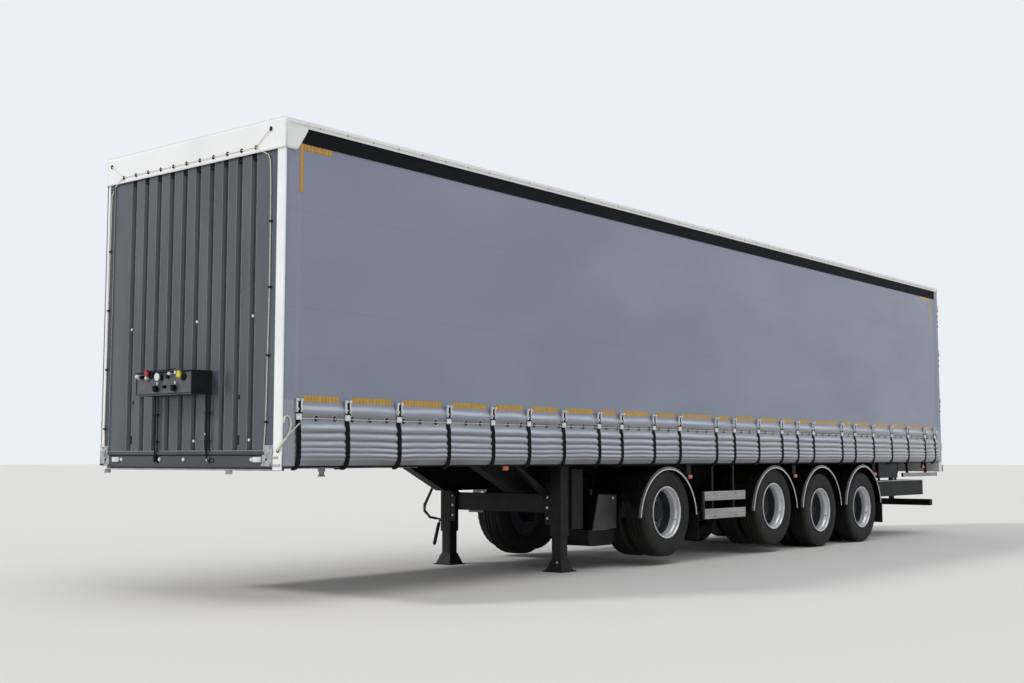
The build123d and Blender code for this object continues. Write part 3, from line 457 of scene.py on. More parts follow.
def curtain_out(x, z, side):
    """How far the cloth's outer face stands out from its plane at a place."""
    nearest = min(abs(x - place) for place in strap_x)
    pull = exp(-(nearest / 0.07) ** 2)
    below = min(1.0, max(0.0, (1.72 - z) / 0.1))
    wander = noise.noise(Vector((x * 2.3, side * 5, z * 9))) * 0.006
    bay = noise.noise(Vector((x * 1.1, side * 3, 4.2))) * 0.008
    flat = noise.noise(Vector((x * 0.45, side * 7, z * 0.8))) * 0.004
    ripple = rib_offset(z) * (1 - 0.25 * pull) + below * (wander + bay) * (1 - pull)
    free = ripple + (1 - below) * flat * min(1.0, max(0.0, (curtain_high.z - z) / 0.4))
    corner = over_post(x)
    return free * (1 - corner) + (half_width + 0.0045 - curtain_face) * corner


def strap_out(x, z, side):
    """How far a strap stands out. It spans the hollows between ribs, held off by the cloth around them."""
    steps = (-0.024, -0.012, 0, 0.012, 0.024)
    return max(curtain_out(x, z + step, side) - abs(step) * 0.25 for step in steps)


def on_cloth(x, z, side, proud=0.0):
    """A point on the curtain's outer face, or proud of it."""
    return Vector((x, side * (curtain_face + curtain_out(x, z, side) + proud), z))


RIBS_TOP = 1.7
column_gap = 0.06
cloth_rear, cloth_front = curtain_low.x - 0.095, body_front - 0.003
knots = [cloth_rear, curtain_low.x, *strap_x, curtain_high.x, cloth_front]
columns = [cloth_rear]
for near, far in zip(knots, knots[1:]):
    steps = max(3, ceil((far - near) / column_gap))
    columns += [near + (far - near) * (n + 1) / steps for n in range(steps)]
fine_rows = 96
rows = [curtain_low.z + (RIBS_TOP - curtain_low.z) * n / fine_rows for n in range(fine_rows)]
rows += [RIBS_TOP + (curtain_high.z - RIBS_TOP) * n / 18 for n in range(19)]

# Painted light on the ribbed band: a bluish-white painted highlight, the sky's reflection, where a rib faces
# up, an even tone, and painted shade where it faces down
BAND_PAINTED_HIGHLIGHT, BAND_EVEN, BAND_PAINTED_SHADE = srgb(196, 202, 216), srgb(142, 145, 154), srgb(112, 112, 118)


def rib_painted_sheen(tree, place, colour, raised):
    """The ribbed band's coating with painted light: a painted highlight, the sky's reflection, on the slopes
    of the ribs that face up, and painted shade on the slopes that face down into their hollows.
    """
    colour = weave(tree, place, colour, raised)
    split = add(tree, "SeparateXYZ", vector=place).outputs
    waver = maths(tree, "MULTIPLY_ADD", clouds(tree, place, 1.5, 4.0), 0.05, split["Z"])
    bottom, top = RIBS[-1][0], RIBS[0][0]
    height = ranged(tree, maths(tree, "SUBTRACT", waver, 0.025), bottom, top)
    tones = add(tree, "ValToRGB", fac=height)
    tones.color_ramp.interpolation = "EASE"
    stops = tones.color_ramp.elements
    stops[0].position, stops[0].color = 0.0, BAND_PAINTED_SHADE
    stops[1].position, stops[1].color = 1.0, BAND_EVEN
    # Each slope between two rows of RIBS gets a stop: a painted highlight if it faces up, painted shade if it
    # faces down
    for (upper, out_up), (lower, out_low) in zip(RIBS, RIBS[1:]):
        rise = out_low - out_up
        stop = stops.new(((upper + lower) / 2 - bottom) / (top - bottom))
        stop.color = BAND_PAINTED_HIGHLIGHT if rise > 0.006 else BAND_PAINTED_SHADE if rise < -0.004 else BAND_EVEN
    # How much of the painted light shows: patchy, and fading out towards the corner posts
    share = ranged(tree, clouds(tree, place, 2.1, 3.0), 0.3, 0.65, 0.45, 0.95)
    for end, way in ((curtain_high.x, -1), (curtain_low.x, 1)):
        fade = ranged(tree, split["X"], end + way * 0.012, end + way * 0.045)
        share = maths(tree, "MULTIPLY", share, fade)
    return mixed(tree, share, colour, tones.outputs["Color"])


# The ribbed band's finish, with its painted highlights and painted shade along the ribs
MATERIALS["curtain_band"] = material(
    "curtain_band", (138, 142, 152), (150, 153, 163), (0.16, 0.26), metallic=0.25, scale=0.9,
    stretch=(0.5, 1, 2.5), fine=9, bump=0.1, bump_depth=0.006, coat=0.35, extra=rib_painted_sheen,
)
for name, side in SIDES:
    points = [[on_cloth(x, z, side) for x in (columns if side < 0 else columns[::-1])] for z in rows]
    curtain = grid_sheet(f"curtain_cloth_{name}", points, "curtain_fabric", 0.003, lower="curtain_band",
                         lower_rows=fine_rows)
    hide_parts(f"curtain_{name}")

# Straps over the ribs, hooked under the rave, with an over-centre buckle on each
STRAP_HALF, STRAP_THICK, STRAP_LIFT = 0.026, 0.0026, 0.0018
STRAP_TOP, STRAP_FALL, STRAP_STEPS = 1.6, 0.44, 22
HOOK_RUN = ((0.01, 1.146), (0.024, 1.134), (0.04, 1.128))
LEVER_KNOB = mm((0, 0), (0, 11.5), (2, 13.5), (19, 13.5), (21, 11.5), (21, 0))
webbing, buckles, buckle_cores = shapes(3)


def add_buckle(x, side, foot_y):
    """The buckle of the strap at x, and the roller that its lower end goes round, behind foot_y."""
    base = curtain_face + curtain_out(x, 1.62, side)
    foot = curtain_face + curtain_out(x, 1.56, side)

    def plate(shape, half, outs, heights, root, *bevel):
        shape.box((x - half, side * (root + outs[0]), heights[0]),
                  (x + half, side * (root + outs[1]), heights[1]), *bevel)

    for cheek in (x - 0.023, x + 0.023):
        buckles.box((cheek - 0.0075, side * (base + 0.001), 1.6),
                    (cheek + 0.0075, side * (base + 0.018), 1.702), 0.004, 2)
        buckles.turned((cheek - 0.0105, side * (base + 0.014), 1.702), AHEAD, LEVER_KNOB, 14)
        buckles.turned((cheek - 0.009, side * (base + 0.019), 1.628), AHEAD, plug(0.009, 0.018), 12)
    plate(buckles, 0.03, (-0.001, 0.002), (1.598, 1.698), base, 0.001)
    plate(buckles, 0.029, (0.004, 0.017), (1.538, 1.592), foot, 0.006, 2)
    plate(buckles, 0.021, (0.016, 0.02), (1.546, 1.585), foot)
    plate(buckle_cores, 0.0155, (0.001, 0.013), (1.59, 1.694), base)
    plate(buckle_cores, 0.012, (0.012, 0.016), (1.65, 1.672), base, 0.001)
    buckle_cores.turned((x - 0.03, side * (base + 0.012), 1.597), AHEAD, plug(0.007, 0.06), 10)
    plate(buckle_cores, 0.018, (-0.052, -0.034), (1.124, 1.152), foot_y)


for name, side in SIDES:
    for x in strap_x:
        heights = [STRAP_TOP - STRAP_FALL * n / STRAP_STEPS for n in range(STRAP_STEPS + 1)]
        run = [(curtain_face + strap_out(x, z, side) + STRAP_LIFT, z) for z in heights]
        foot_y = run[-1][0]
        run += [(foot_y - inwards, z) for inwards, z in HOOK_RUN]
        edges = [[Vector((x + half, side * y, z)) for half in (-STRAP_HALF, STRAP_HALF)] for y, z in run]
        webbing.strip(edges, Vector((0, side * STRAP_THICK, 0)))
        add_buckle(x, side, foot_y)
webbing.piece("straps_webbing", "webbing", replaces=("straps",), slot="webbing")
buckles.piece("strap_buckles", "buckle_zinc")
buckle_cores.piece("strap_buckle_rollers", "socket_black")

# Customs cord through oval eyelets along the top of the ribbed band
EYELET_HEIGHT, EYELET_PITCH = 1.552, 0.21
eyelet_count = int((curtain_high.x - curtain_low.x - 0.3) / EYELET_PITCH)
eyelet_x = [from_front(0.352) - EYELET_PITCH * n for n in range(eyelet_count)]
rings, holes, lacing = shapes(3)


def staple(p, out, reach, rise):
    """A small bow that stands out of an eyelet."""
    turns = [pi * k / 6 for k in range(7)]
    return [p + out * reach * sin(turn) + Vector((0, 0, rise * cos(turn))) for turn in turns]


for name, side in SIDES:
    line = []
    out = Vector((0, side, 0))
    for x in sorted([*eyelet_x, *strap_x]):
        if x in strap_x:
            line.append(on_cloth(x, EYELET_HEIGHT, side, 0.001))
        elif min(abs(x - place) for place in strap_x) >= 0.05:
            p = on_cloth(x, EYELET_HEIGHT, side, 0.003)
            rings.ring(p, out, 0.0275, 0.0024, 18, 6)
            holes.disc(p - out * 0.0015, out, 0.027, 0.0034, 18, 0.0006)
            rings.tube(staple(p, out, 0.012, 0.012), 0.0018, 5)
            line.append(p + out * 0.0065)
    lacing.tube(line, 0.003, 6)
rings.piece("curtain_eyelets", "buckle_zinc")
holes.piece("curtain_eyelet_holes", "socket_black")
lacing.piece("curtain_lacing", "cord_cream")

# The curtain's rear pole shows as a dark line with its hooks
poles, pole_hooks = shapes(2)
poles.tube([(cloth_rear - 0.006, half_width - 0.007, z) for z in (1.2, 2.5, 3.9)], 0.01, 8)
for z in (3.66, 3.57, 3.48, 3.41, 2.93, 2.84, 2.75, 2.16, 2.07, 1.99):
    pole_hooks.box((cloth_rear - 0.022, half_width, z - 0.014),
                   (cloth_rear + 0.01, half_width + 0.006, z + 0.014), 0.003)
for shape, name in ((poles, "curtain_poles"), (pole_hooks, "curtain_pole_hooks")):
    shape.mirror()
    shape.piece(name, "socket_black")

# Yellow reflective tape: one length in each bay, and an L at each upper corner
TAPE_LOW, TAPE_WIDTH = 1.692, 0.05
tapes = Shape()


def tape(low_points, high_points, side):
    """A strip of tape on the cloth, from two rows of points on its outer face."""
    lift = Vector((0, side * 0.0006, 0))
    edges = [(low + lift, high + lift) for low, high in zip(low_points, high_points)]
    tapes.strip(edges, Vector((0, side * 0.0008, 0)))


def tape_run(x0, x1, z, side):
    steps = max(2, ceil(abs(x1 - x0) / 0.06))
    run = [x0 + (x1 - x0) * n / steps for n in range(steps + 1)]
    tape([on_cloth(x, z, side) for x in run], [on_cloth(x, z + TAPE_WIDTH, side) for x in run], side)


pelmet_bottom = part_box("cantrails")[1].z - 0.14
for name, side in SIDES:
    for near, far in zip([curtain_low.x, *strap_x], [*strap_x, curtain_high.x]):
        if far - near > 0.25:
            tape_run(near + 0.08, far - 0.06, TAPE_LOW, side)
    for x, way in ((from_front(0.143), -1), (curtain_low.x + 0.22, 1)):
        heights = [pelmet_bottom - 0.411 + 0.41 * n / 6 for n in range(7)]
        upright = [[on_cloth(place, z, side) for z in heights] for place in (x, x + way * TAPE_WIDTH)]
        tape(*upright, side)
        tape_run(x + way * 0.052, x + way * 0.374, pelmet_bottom - 0.052, side)
tapes.piece("reflective_tapes", "reflective_yellow")

# Roof cover: one sheet over the bows, with a short drop along the sides and a long one in front
roof_low, roof_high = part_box("roof_tarp")
bow_knots = [roof_low.x, *middle(levels(spots("roof_bows"), 0)), roof_high.x]
skirt_bottom = roof_high.z - 0.07
drop_bottom = roof_low.z
side_y = roof_high.y
COVER_THICK = 0.0025


def roof_height(x, y):
    """The cover's height: it lies on the bows and sags between them."""
    near, far = next(pair for pair in zip(bow_knots, bow_knots[1:]) if pair[0] <= x <= pair[1])
    sag = 0.006 * sin(pi * (x - near) / (far - near)) ** 2 * (1 - (y / side_y) ** 4)
    return roof_high.z - 0.0015 - sag + noise.noise(Vector((x * 1.4, y * 1.4, 2))) * 0.001


def spread(half, steps):
    """Places across the trailer, from right to left."""
    return [-half + 2 * half * k / steps for k in range(steps + 1)]


x_steps = 200
roof_rows = []
for n in range(x_steps + 1):
    x = min(roof_high.x, roof_low.x + (roof_high.x - roof_low.x) * n / x_steps)
    sway = noise.noise(Vector((x * 1.7, 8, 1))) * 0.0015
    edge = []
    for z in (skirt_bottom, skirt_bottom + 0.012, skirt_bottom + 0.034, roof_high.z - 0.016):
        ripple = (0.0012 if z < skirt_bottom + 0.02 else 0) + sway * (roof_high.z - z) / 0.07
        edge.append((side_y - 0.001 + ripple, z))
    edge.append((side_y - 0.005, roof_high.z - 0.005))
    row = [Vector((x, -y, z)) for y, z in edge]
    row += [Vector((x, y, roof_height(x, y))) for y in spread(side_y - 0.016, 22)]
    row += [Vector((x, y, z)) for y, z in reversed(edge)]
    roof_rows.append(row)
roof = grid_sheet("roof_cover", roof_rows, "roof_fabric", COVER_THICK, angle=70)
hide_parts("roof_tarp")

# The drop over the headboard with its hem, the drop behind, and the flap folded round each corner
cover_edge = roof_high.z - 0.003
drop_rows = []
for n in range(15):
    share = n / 14
    z = cover_edge - (cover_edge - drop_bottom) * share
    hem = 0.0015 if z < drop_bottom + 0.03 else 0.0
    row = []
    for k, y in enumerate(spread(side_y - 0.001, 60)):
        sway = noise.noise(Vector((0, y * 2.2, z * 3))) * 0.003 * share
        wave = 0.0016 * sin(k * 0.52 + 0.6) * share + sway
        row.append(Vector((roof_high.x - 0.002 + abs(wave) + hem + 0.002 * share, y, z)))
    drop_rows.append(row)
front_drop = grid_sheet("roof_front_drop", drop_rows, "roof_fabric", COVER_THICK, offset=0.0)
rear_x, rear_deep = roof_low.x - 0.0005, cover_edge - skirt_bottom
rear_rows = [[Vector((rear_x, y, cover_edge - rear_deep * n / 6)) for y in spread(side_y - 0.001, 40)]
             for n in range(7)]
rear_drop = grid_sheet("roof_rear_drop", rear_rows, "roof_fabric", COVER_THICK, offset=0.0)
# how far back, and how far down the flap hangs there
FLAP = ((0.0, 0.255), (0.09, 0.262), (0.118, 0.25), (0.215, 0.1), (0.24, 0.05))
for name, side in SIDES:
    flap_rows = []
    for n in range(13):
        back = FLAP[-1][0] * n / 12
        (x0, d0), (x1, d1) = next(pair for pair in zip(FLAP, FLAP[1:]) if pair[0][0] <= back <= pair[1][0])
        depth = d0 + (d1 - d0) * (back - x0) / (x1 - x0)
        fold = 0.004 * sin(pi * min(1, back / 0.24)) + 0.003 * exp(-((back - 0.07) / 0.03) ** 2)
        flap_rows.append([
            Vector((roof_high.x - 0.001 - back, side * (side_y + 0.0025 + fold * k / 9),
                    roof_high.z - 0.01 - depth * k / 9))
            for k in range(10)
        ])
    grid_sheet(f"roof_corner_flap_{name}", flap_rows, "roof_fabric", COVER_THICK, offset=0.0)

# Eyelets and cord of the roof cover
raised_z = drop_bottom + 0.18
drop_face = roof_high.x + 0.0035
eyelets = [(-1.202, raised_z), *((-1.003 + 0.19 * n, drop_bottom + 0.048) for n in range(11)),
           (1.085, raised_z)]
front_points = [Vector((drop_face, y, z)) for y, z in eyelets]
roof_rings, roof_holes, roof_cord = shapes(3)
for p in front_points:
    roof_rings.ring(p, AHEAD, 0.0215, 0.003, 16, 6)
    roof_holes.disc(p - AHEAD * 0.0008, AHEAD, 0.0225, 0.003, 16, 0.0006)
    roof_holes.tube(staple(p, AHEAD, 0.012, 0.015), 0.003, 5)
roof_cord.tube([p + AHEAD * 0.006 for p in front_points], 0.0034, 6)
SIDE_EYELETS = 44
for name, side in SIDES:
    out = Vector((0, side, 0))
    line = [Vector((roof_high.x - 0.02, side * (side_y + 0.012), roof_high.z - 0.05))]
    for n in range(SIDE_EYELETS):
        x = from_front(0.36) - n * (body_front - body_rear - 0.6) / (SIDE_EYELETS - 1)
        p = Vector((x, side * (side_y + 0.0025), roof_high.z - 0.04))
        roof_rings.ring(p, out, 0.011, 0.003, 12, 5)
        roof_holes.disc(p - out * 0.0005, out, 0.0095, 0.0016, 10, 0.0004)
        line.append(p + out * 0.003)
    roof_cord.tube(line, 0.003, 6)
roof_rings.piece("roof_eyelets", "buckle_zinc")
roof_holes.piece("roof_eyelet_holes", "socket_black")

# The cord comes down both sides of the headboard in clips
cord_clips = Shape()
CORD_ROUTES = (
    # the eyelet it leaves, and its way down by (y, z), with clips from the fifth to the eighth place
    (front_points[-2], ((0.961, 3.8), (1.039, 3.763), (1.066, 3.708), (1.076, 3.5), (1.079, 3.19),
                        (1.081, 2.636), (1.07, 2.07), (1.06, 1.52), (1.041, 1.275))),
    (front_points[1], ((-1.09, 3.805), (-1.165, 3.765), (-1.193, 3.69), (-1.195, 3.5), (-1.197, 3.158),
                       (-1.204, 2.6), (-1.208, 2.045), (-1.214, 1.494), (-1.2, 1.275))),
)
for leaves, way_down in CORD_ROUTES:
    line = [leaves + AHEAD * 0.006]
    for n, (y, z) in enumerate(way_down):
        ahead = body_front - 0.006 + (0.012 if abs(y) > 1.165 else 0.0)
        line.append(Vector((ahead + (0.014 if z > drop_bottom - 0.02 else 0.0), y, z)))
        if 4 <= n < 8:
            cord_clips.box((ahead - 0.008, y - 0.014, z - 0.008), (ahead + 0.009, y + 0.02, z + 0.008))
    roof_cord.tube(line, 0.005, 8)

# The lacing's end: lashed from the first strap round each front post to a hook at its foot
proud = half_width + 0.011
TAUT = ((6.878, proud + 0.022, 1.51), (6.955, proud, 1.437), (7.02, proud - 0.002, 1.377),
        (7.042, half_width - 0.01, 1.345), (7.044, half_width - 0.055, 1.285))
BIGHT = ((7.044, half_width - 0.048, 1.283), (7.046, half_width - 0.006, 1.33), (7.01, proud, 1.378),
         (6.968, proud, 1.44), (6.956, proud, 1.5), (6.968, proud, 1.552), (6.996, proud, 1.572),
         (7.022, proud, 1.556), (7.03, proud - 0.004, 1.51))
HOOK = mm((0, 0), (0, 17), (4, 17), (4, 8), (14, 8), (14, 0))
for name, side in SIDES:
    for route, thick in ((TAUT, 0.0055), (BIGHT, 0.0085)):
        roof_cord.tube([Vector((x, side * y, z)) for x, y, z in route], thick, 8)
    cord_clips.turned((body_front, side * (half_width - 0.052), 1.284), AHEAD, HOOK, 14)
roof_cord.piece("customs_cord", "cord_cream")
cord_clips.piece("cord_clips", "socket_black")

# Headboard: side strips, rivets, slots, grooves with painted shade on their floors, painted highlights on
# their edges and painted shadows at their tops, and the foot strip over the sill
fittings, slots, lamps, castings, foot_strip, foot_edge, groove_floors, groove_edges = shapes(8)
wall_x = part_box("headboard")[1].x
for y, z in ((-0.844, 2.4), (0.117, 2.41), (0.87, 2.41), (0.105, 1.372), (0.848, 1.375), (0.27, 1.43)):
    fittings.disc((wall_x, y, z), AHEAD, 0.013, 0.008, 14, 0.004)
for y, z, long in ((-0.798, 1.725, 0.02), (0.708, 1.736, 0.02), (-0.814, 1.389, 0.04), (0.706, 1.376, 0.04)):
    slots.box((wall_x - 0.002, y - 0.011, z - long), (wall_x + 0.002, y + 0.011, z + long))
groove_x = min(p.x for p in spots("headboard") if abs(p.y) < 1)
groove_low, groove_high = floor_top + 0.045, drop_bottom + 0.02
for n in range(-5, 5):
    y = 0.095 + 0.19 * n
    # The floor of each groove is covered with painted shade
    groove_floors.box((groove_x - 0.002, y - 0.021, groove_low),
                      (groove_x + 0.001, y + 0.021, groove_high), 0)
    # Light lines on both edges of each groove are painted highlights
    for near, far in ((0.036, 0.042), (-0.041, -0.037)):
        groove_edges.box((wall_x - 0.002, y + near, groove_low), (wall_x + 0.001, y + far, groove_high), 0)
    # A black box at the top of each groove is the painted shadow of the roof's drop
    slots.box((groove_x, y - 0.03, drop_bottom - 0.045), (wall_x - 0.003, y + 0.03, groove_high))
inner_edge = half_width - 0.112
foot_strip.box((wall_x - 0.004, -inner_edge, floor_top + 0.003),
               (wall_x + 0.009, inner_edge, floor_top + 0.034))
foot_edge.box((wall_x - 0.002, 0.02 - inner_edge, floor_top + 0.033),
              (wall_x + 0.011, inner_edge - 0.09, floor_top + 0.039))
foot_edge.box((body_front - 0.002, -inner_edge, sill_low + 0.001),
              (body_front + 0.009, inner_edge, sill_low + 0.013))
slots.box((body_front - 0.004, -inner_edge, floor_top - 0.007),
          (body_front + 0.002, inner_edge, floor_top + 0.002), 0.001)
foot_strip.box((body_front - 0.002, -1.222, floor_top + 0.085),
               (body_front + 0.003, -1.16, drop_bottom + 0.02), 0.001)

# Sill: bolts, castings beside the posts' feet, a tie-down eye, tie hooks and the small front lamps
for y in (-0.362, -0.016, 0.317):
    fittings.disc((body_front, y, rave_bottom + 0.062), AHEAD, 0.0165, 0.01, 18, 0.005)
feet, hooks = shapes(2)
feet.box((body_front - 0.004, inner_edge, sill_low + 0.004),
         (body_front + 0.005, half_width - 0.001, floor_top + 0.004))
feet.mirror()
for side, out, face in ((1, 0.0, body_front), (-1, 0.1, body_front + 0.002)):
    low, high = rave_bottom + 0.008, floor_top + 0.08
    for behind, ahead, near, far, bottom, top, bevel in (
        (-0.006, 0.005, 1.03 + out, 1.163 + out, low, floor_top, 0.002),
        (-0.02, 0.004, 1.058 + out, 1.163 + out, floor_top - 0.004, high, 0.003),
        (0.004, 0.014, 1.03 + out, 1.262, low, low + 0.016, 0.002),
        (0.003, 0.014, 1.14 + out / 2, 1.163 + out, low, high - 0.03, 0.003),
        (0.003, 0.012, 1.163, 1.235, floor_top - 0.03, floor_top - 0.012, 0.003),
    ):
        castings.box((face + behind, side * near, bottom), (face + ahead, side * far, top), bevel)
    slots.turned((face + 0.0045, side * (1.085 + out), rave_bottom + 0.062), AHEAD, plug(0.011, 0.002), 16)
    for y, z in ((1.048, 0.092), (1.125, 0.125), (1.125, 0.03), (1.048, 0.03)):
        castings.disc((face + 0.004, side * (y + out), rave_bottom + z), AHEAD, 0.007, 0.005, 10)
    lamp = 0.925 + out * 0.45
    lamps.box((body_front - 0.002, side * lamp, rave_bottom + 0.04),
              (body_front + 0.018, side * (lamp + 0.1), rave_bottom + 0.084), 0.006, 3)
    fittings.disc((body_front, side * (lamp - 0.03), rave_bottom + 0.062), AHEAD, 0.0165, 0.01, 14, 0.005)
for y in (0.56, -1.21):
    hooks.box((body_front - 0.05, y - 0.03, rave_bottom - 0.062),
              (body_front - 0.022, y + 0.03, rave_bottom - 0.022), 0.004, 2)
    hooks.box((body_front - 0.056, y - 0.024, rave_bottom - 0.06),
              (body_front - 0.048, y + 0.024, rave_bottom + 0.002), 0.001)
eye = [(body_front + 0.002, 0.372 + 0.03 * cos(a), rave_bottom + 0.055 + 0.02 * sin(a))
       for a in [*angles(12), 2 * pi]]
slots.tube(eye, 0.0035, 6)
lamps.piece("front_lamps", "lamp_clear")
feet.piece("post_feet", "body_white")
hooks.piece("tie_hooks", "galvanised")
castings.piece("sill_castings", "galvanised")
foot_strip.piece("headboard_foot", "sill_slate")
# Painted shade on the groove floors, and painted highlights on the groove edges
groove_floors.piece("groove_floors", "groove_painted_shade")
groove_edges.piece("groove_edges", "edge_painted_highlight")
foot_edge.piece("sill_edges", "aluminium")
# The slots piece holds the real slots and also the painted shadows at the tops of the grooves
slots.piece("headboard_slots", "socket_black")
fittings.piece("front_bolts", "trim_white")

# Connection box: air couplings, sockets with their lids, and the conduits down to the sill
box_low, box_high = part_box("connection_box")
face = box_high.x - 0.003
lid, sockets, red, yellow, plugs, panel = shapes(6)
panel.box((face - 0.01, box_low.y + 0.003, box_low.z + 0.003), (face, box_high.y - 0.003, box_high.z - 0.003))
panel.box((face - 0.004, box_low.y, box_low.z - 0.003), (face + 0.008, box_high.y, box_low.z + 0.004))
lid.box((box_low.x, box_low.y - 0.003, box_high.z - 0.003),
        (face + 0.012, box_high.y + 0.003, box_high.z + 0.004))
for y, out in ((box_low.y, -1), (box_high.y, 1)):
    for x in (box_low.x + 0.03, face - 0.05):
        lid.disc((x, y, box_low.z + 0.15), (0, out, 0), 0.009, 0.006, 10)
COUPLING = mm((0, 0), (0, 24), (12, 24), (14, 16), (22, 16), (25, 24), (36, 25), (42, 20), (44, 0))
FLANGE = mm((0, 0), (0, 36), (10, 36), (14, 30), (14, 0))
SOCKET = mm((0, 0), (0, 24), (30, 24), (36, 19), (38, 0))
ON_THE_FACE = (
    # shape, y, z, profile, steps
    (red, -0.262, 1.962, COUPLING, 24), (yellow, 0.198, 1.932, COUPLING, 24),
    (sockets, -0.234, 1.95, FLANGE, 22), (sockets, 0.226, 1.92, FLANGE, 22),
    (sockets, -0.15, 1.82, SOCKET, 22), (sockets, 0.106, 1.82, SOCKET, 22),
    (sockets, -0.355, 1.932, plug(0.016, 0.03, 0.034), 14),
    (sockets, 0.01, 1.925, plug(0.017, 0.02, 0.022), 14),
    (sockets, -0.03, 1.838, plug(0.014, 0.026, 0.028), 16), (red, -0.28, 1.908, plug(0.013, 0.01, 0.012), 20),
    (plugs, -0.275, 1.922, mm((0, 0), (0, 12), (34, 13), (38, 0)), 16),
    (plugs, -0.385, 1.936, mm((-4, 0), (-4, 17), (46, 19), (56, 12), (58, 0)), 18),
    (plugs, -0.112, 1.926, mm((0, 0), (0, 14), (26, 14), (28, 33), (34, 34), (38, 0)), 24),
    (plugs, 0.052, 1.95, mm((0, 0), (0, 10), (30, 15), (36, 10), (36, 0)), 16),
    (plugs, 0.132, 1.956, mm((0, 0), (0, 12), (24, 14), (28, 0)), 16),
)
for shape, y, z, profile, steps in ON_THE_FACE:
    shape.turned((face, y, z), AHEAD, profile, steps)
for shape, y, z in ((red, -0.262, 1.962), (yellow, 0.198, 1.932)):
    shape.box((face + 0.024, y - 0.013, z + 0.014), (face + 0.044, y + 0.018, z + 0.036), 0.005, 2)
sockets.box((face, -0.086, 1.895), (face + 0.018, -0.066, 1.95), 0.004, 2)
for y in (-0.15, 0.106):
    sockets.box((face + 0.012, y - 0.022, 1.838), (face + 0.04, y + 0.026, 1.85), 0.004, 2)
    plugs.box((face + 0.01, y + 0.016, 1.854), (face + 0.022, y + 0.03, 1.882), 0.004, 2)
link = [(face + 0.034, -0.268 + 0.42 * n / 8, 1.982 - 0.006 * sin(pi * n / 8) + 0.004 * n / 8)
        for n in range(9)]
sockets.tube(link, 0.005, 8)
lid.piece("connection_box_lid", "box_grey")
panel.piece("connection_panel", "panel_grey")
sockets.piece("connection_sockets", "socket_black")
red.piece("air_coupling_red", "coupling_red")
yellow.piece("air_coupling_yellow", "coupling_yellow")
plugs.piece("connection_plugs", "lamp_clear")
conduits, conduit_clips = shapes(2)
CONDUIT_FOOT = ((0.0, 0.002, 0.03), (0.006, 0.014, -0.012), (0.008, 0.036, -0.04), (-0.004, 0.05, -0.062),
                (-0.03, 0.054, -0.1))
conduit_x = body_front + 0.006
for y, apart in ((-0.432, 0.034), (0.297, 0.046)):
    line = [Vector((conduit_x, y, box_low.z + 0.005))]
    line += [Vector((conduit_x, y + 0.003 * sin(n), box_low.z - 0.05 - 0.05 * n)) for n in range(9)]
    line += [Vector((conduit_x + dx, y + dy, floor_top + dz)) for dx, dy, dz in CONDUIT_FOOT]
    conduits.tube(line, 0.0065, 10)
    conduits.tube([p + Vector((0, apart, 0)) for p in line[:11]], 0.0058, 10)
    for n in range(9):
        conduits.ring((conduit_x, y, box_low.z - 0.02 - n * 0.055), (0, 0, 1), 0.0065, 0.0014, 12, 5)
    for z in (box_low.z - 0.16, box_low.z - 0.4):
        conduit_clips.box((wall_x, y - 0.016, z - 0.006), (conduit_x + 0.013, y + 0.04, z + 0.006), 0.003)
conduits.turned((conduit_x + 0.002, -0.412, floor_top - 0.06), (0, 0, 1),
                mm((0, 0), (0, 20), (50, 22), (66, 14), (70, 0)), 14)
conduits.piece("conduits", "socket_black")
conduit_clips.piece("conduit_clips", "socket_black")

# Tyres and rims, turned about each wheel's own axis
TYRE_HALF = 0.1325
wheel_steps = 160
HALF_PROFILE = mm(
    # distance from the tyre's middle, radius
    (0, 507), (23.5, 507), (26.5, 496), (33, 495.5), (36, 506.5), (66, 506), (69, 495), (75.5, 494.5),
    (78.5, 505.2), (98, 504), (109, 501.5), (117, 495), (122, 484), (123.8, 470), (126.2, 465), (129, 450),
    (131.8, 425), (132.2, 400), (130.5, 372), (127, 348), (126.2, 344), (127.5, 340), (124, 325),
    (118, 312), (115, 303), (110, 296), (90, 291),
)
TYRE_PROFILE = [(-a, r) for a, r in reversed(HALF_PROFILE[1:])]
TYRE_PROFILE += HALF_PROFILE + mm((90, 288.5), (-90, 288.5))


def lugs(step, along, radius):
    """Slots across the shoulders of the tread, and shallow sipes across its ribs."""
    if step % 4 == 0 and 0.085 < abs(along) < 0.119:
        return along, radius - 0.008
    if step % 4 == 2 and abs(along) < 0.02:
        return along, radius - 0.002
    return along, radius


def add_tyre(shape, origin):
    shape.turned(origin, (0, 1, 0), TYRE_PROFILE, wheel_steps, close_profile=True, shift=lugs)


def round_wheel(turn):
    return Vector((cos(turn), 0, sin(turn)))


RIM_OUTER = mm(
    # distance out from the middle of the twin pair, radius
    (160, 264), (220, 270), (250, 285), (273, 289), (278.5, 297.5), (283, 297.5), (285, 293),
    (283.5, 286.5), (278, 281.5), (268, 278.5), (245, 276.5), (238, 273), (228, 266), (215, 262),
    (190, 260), (160, 259),
)
DISH = mm(
    # distance out from the middle of the twin pair, radius
    (160.5, 263), (160.5, 258.5), (125, 254), (85, 249), (65, 243), (52, 233), (44, 220), (41, 208),
    (40, 190), (38, 175), (37, 146), (40, 142),
)
RIM_INNER = mm(
    (23, 142), (23, 180), (10, 214), (-15, 232), (-80, 248), (-210, 258), (-250, 274), (-272, 280),
    (-283, 290), (-282, 297.5), (-276, 297.5), (-270, 288),
)
BARREL = mm((-60, 286), (-30, 270), (30, 270), (60, 286), (120, 268))
HUB = mm(
    (20, 0), (20, 140), (48, 140), (56, 132), (60, 118), (118, 112), (126, 106), (130, 98), (146, 96),
    (154, 90), (156, 60), (158, 0),
)
DRUM = mm((15, 52), (15, 205), (-250, 210), (-270, 213), (-270, 190), (-256, 52))
VALVE = ((0.22, 0.262), (0.255, 0.25), (0.285, 0.243))
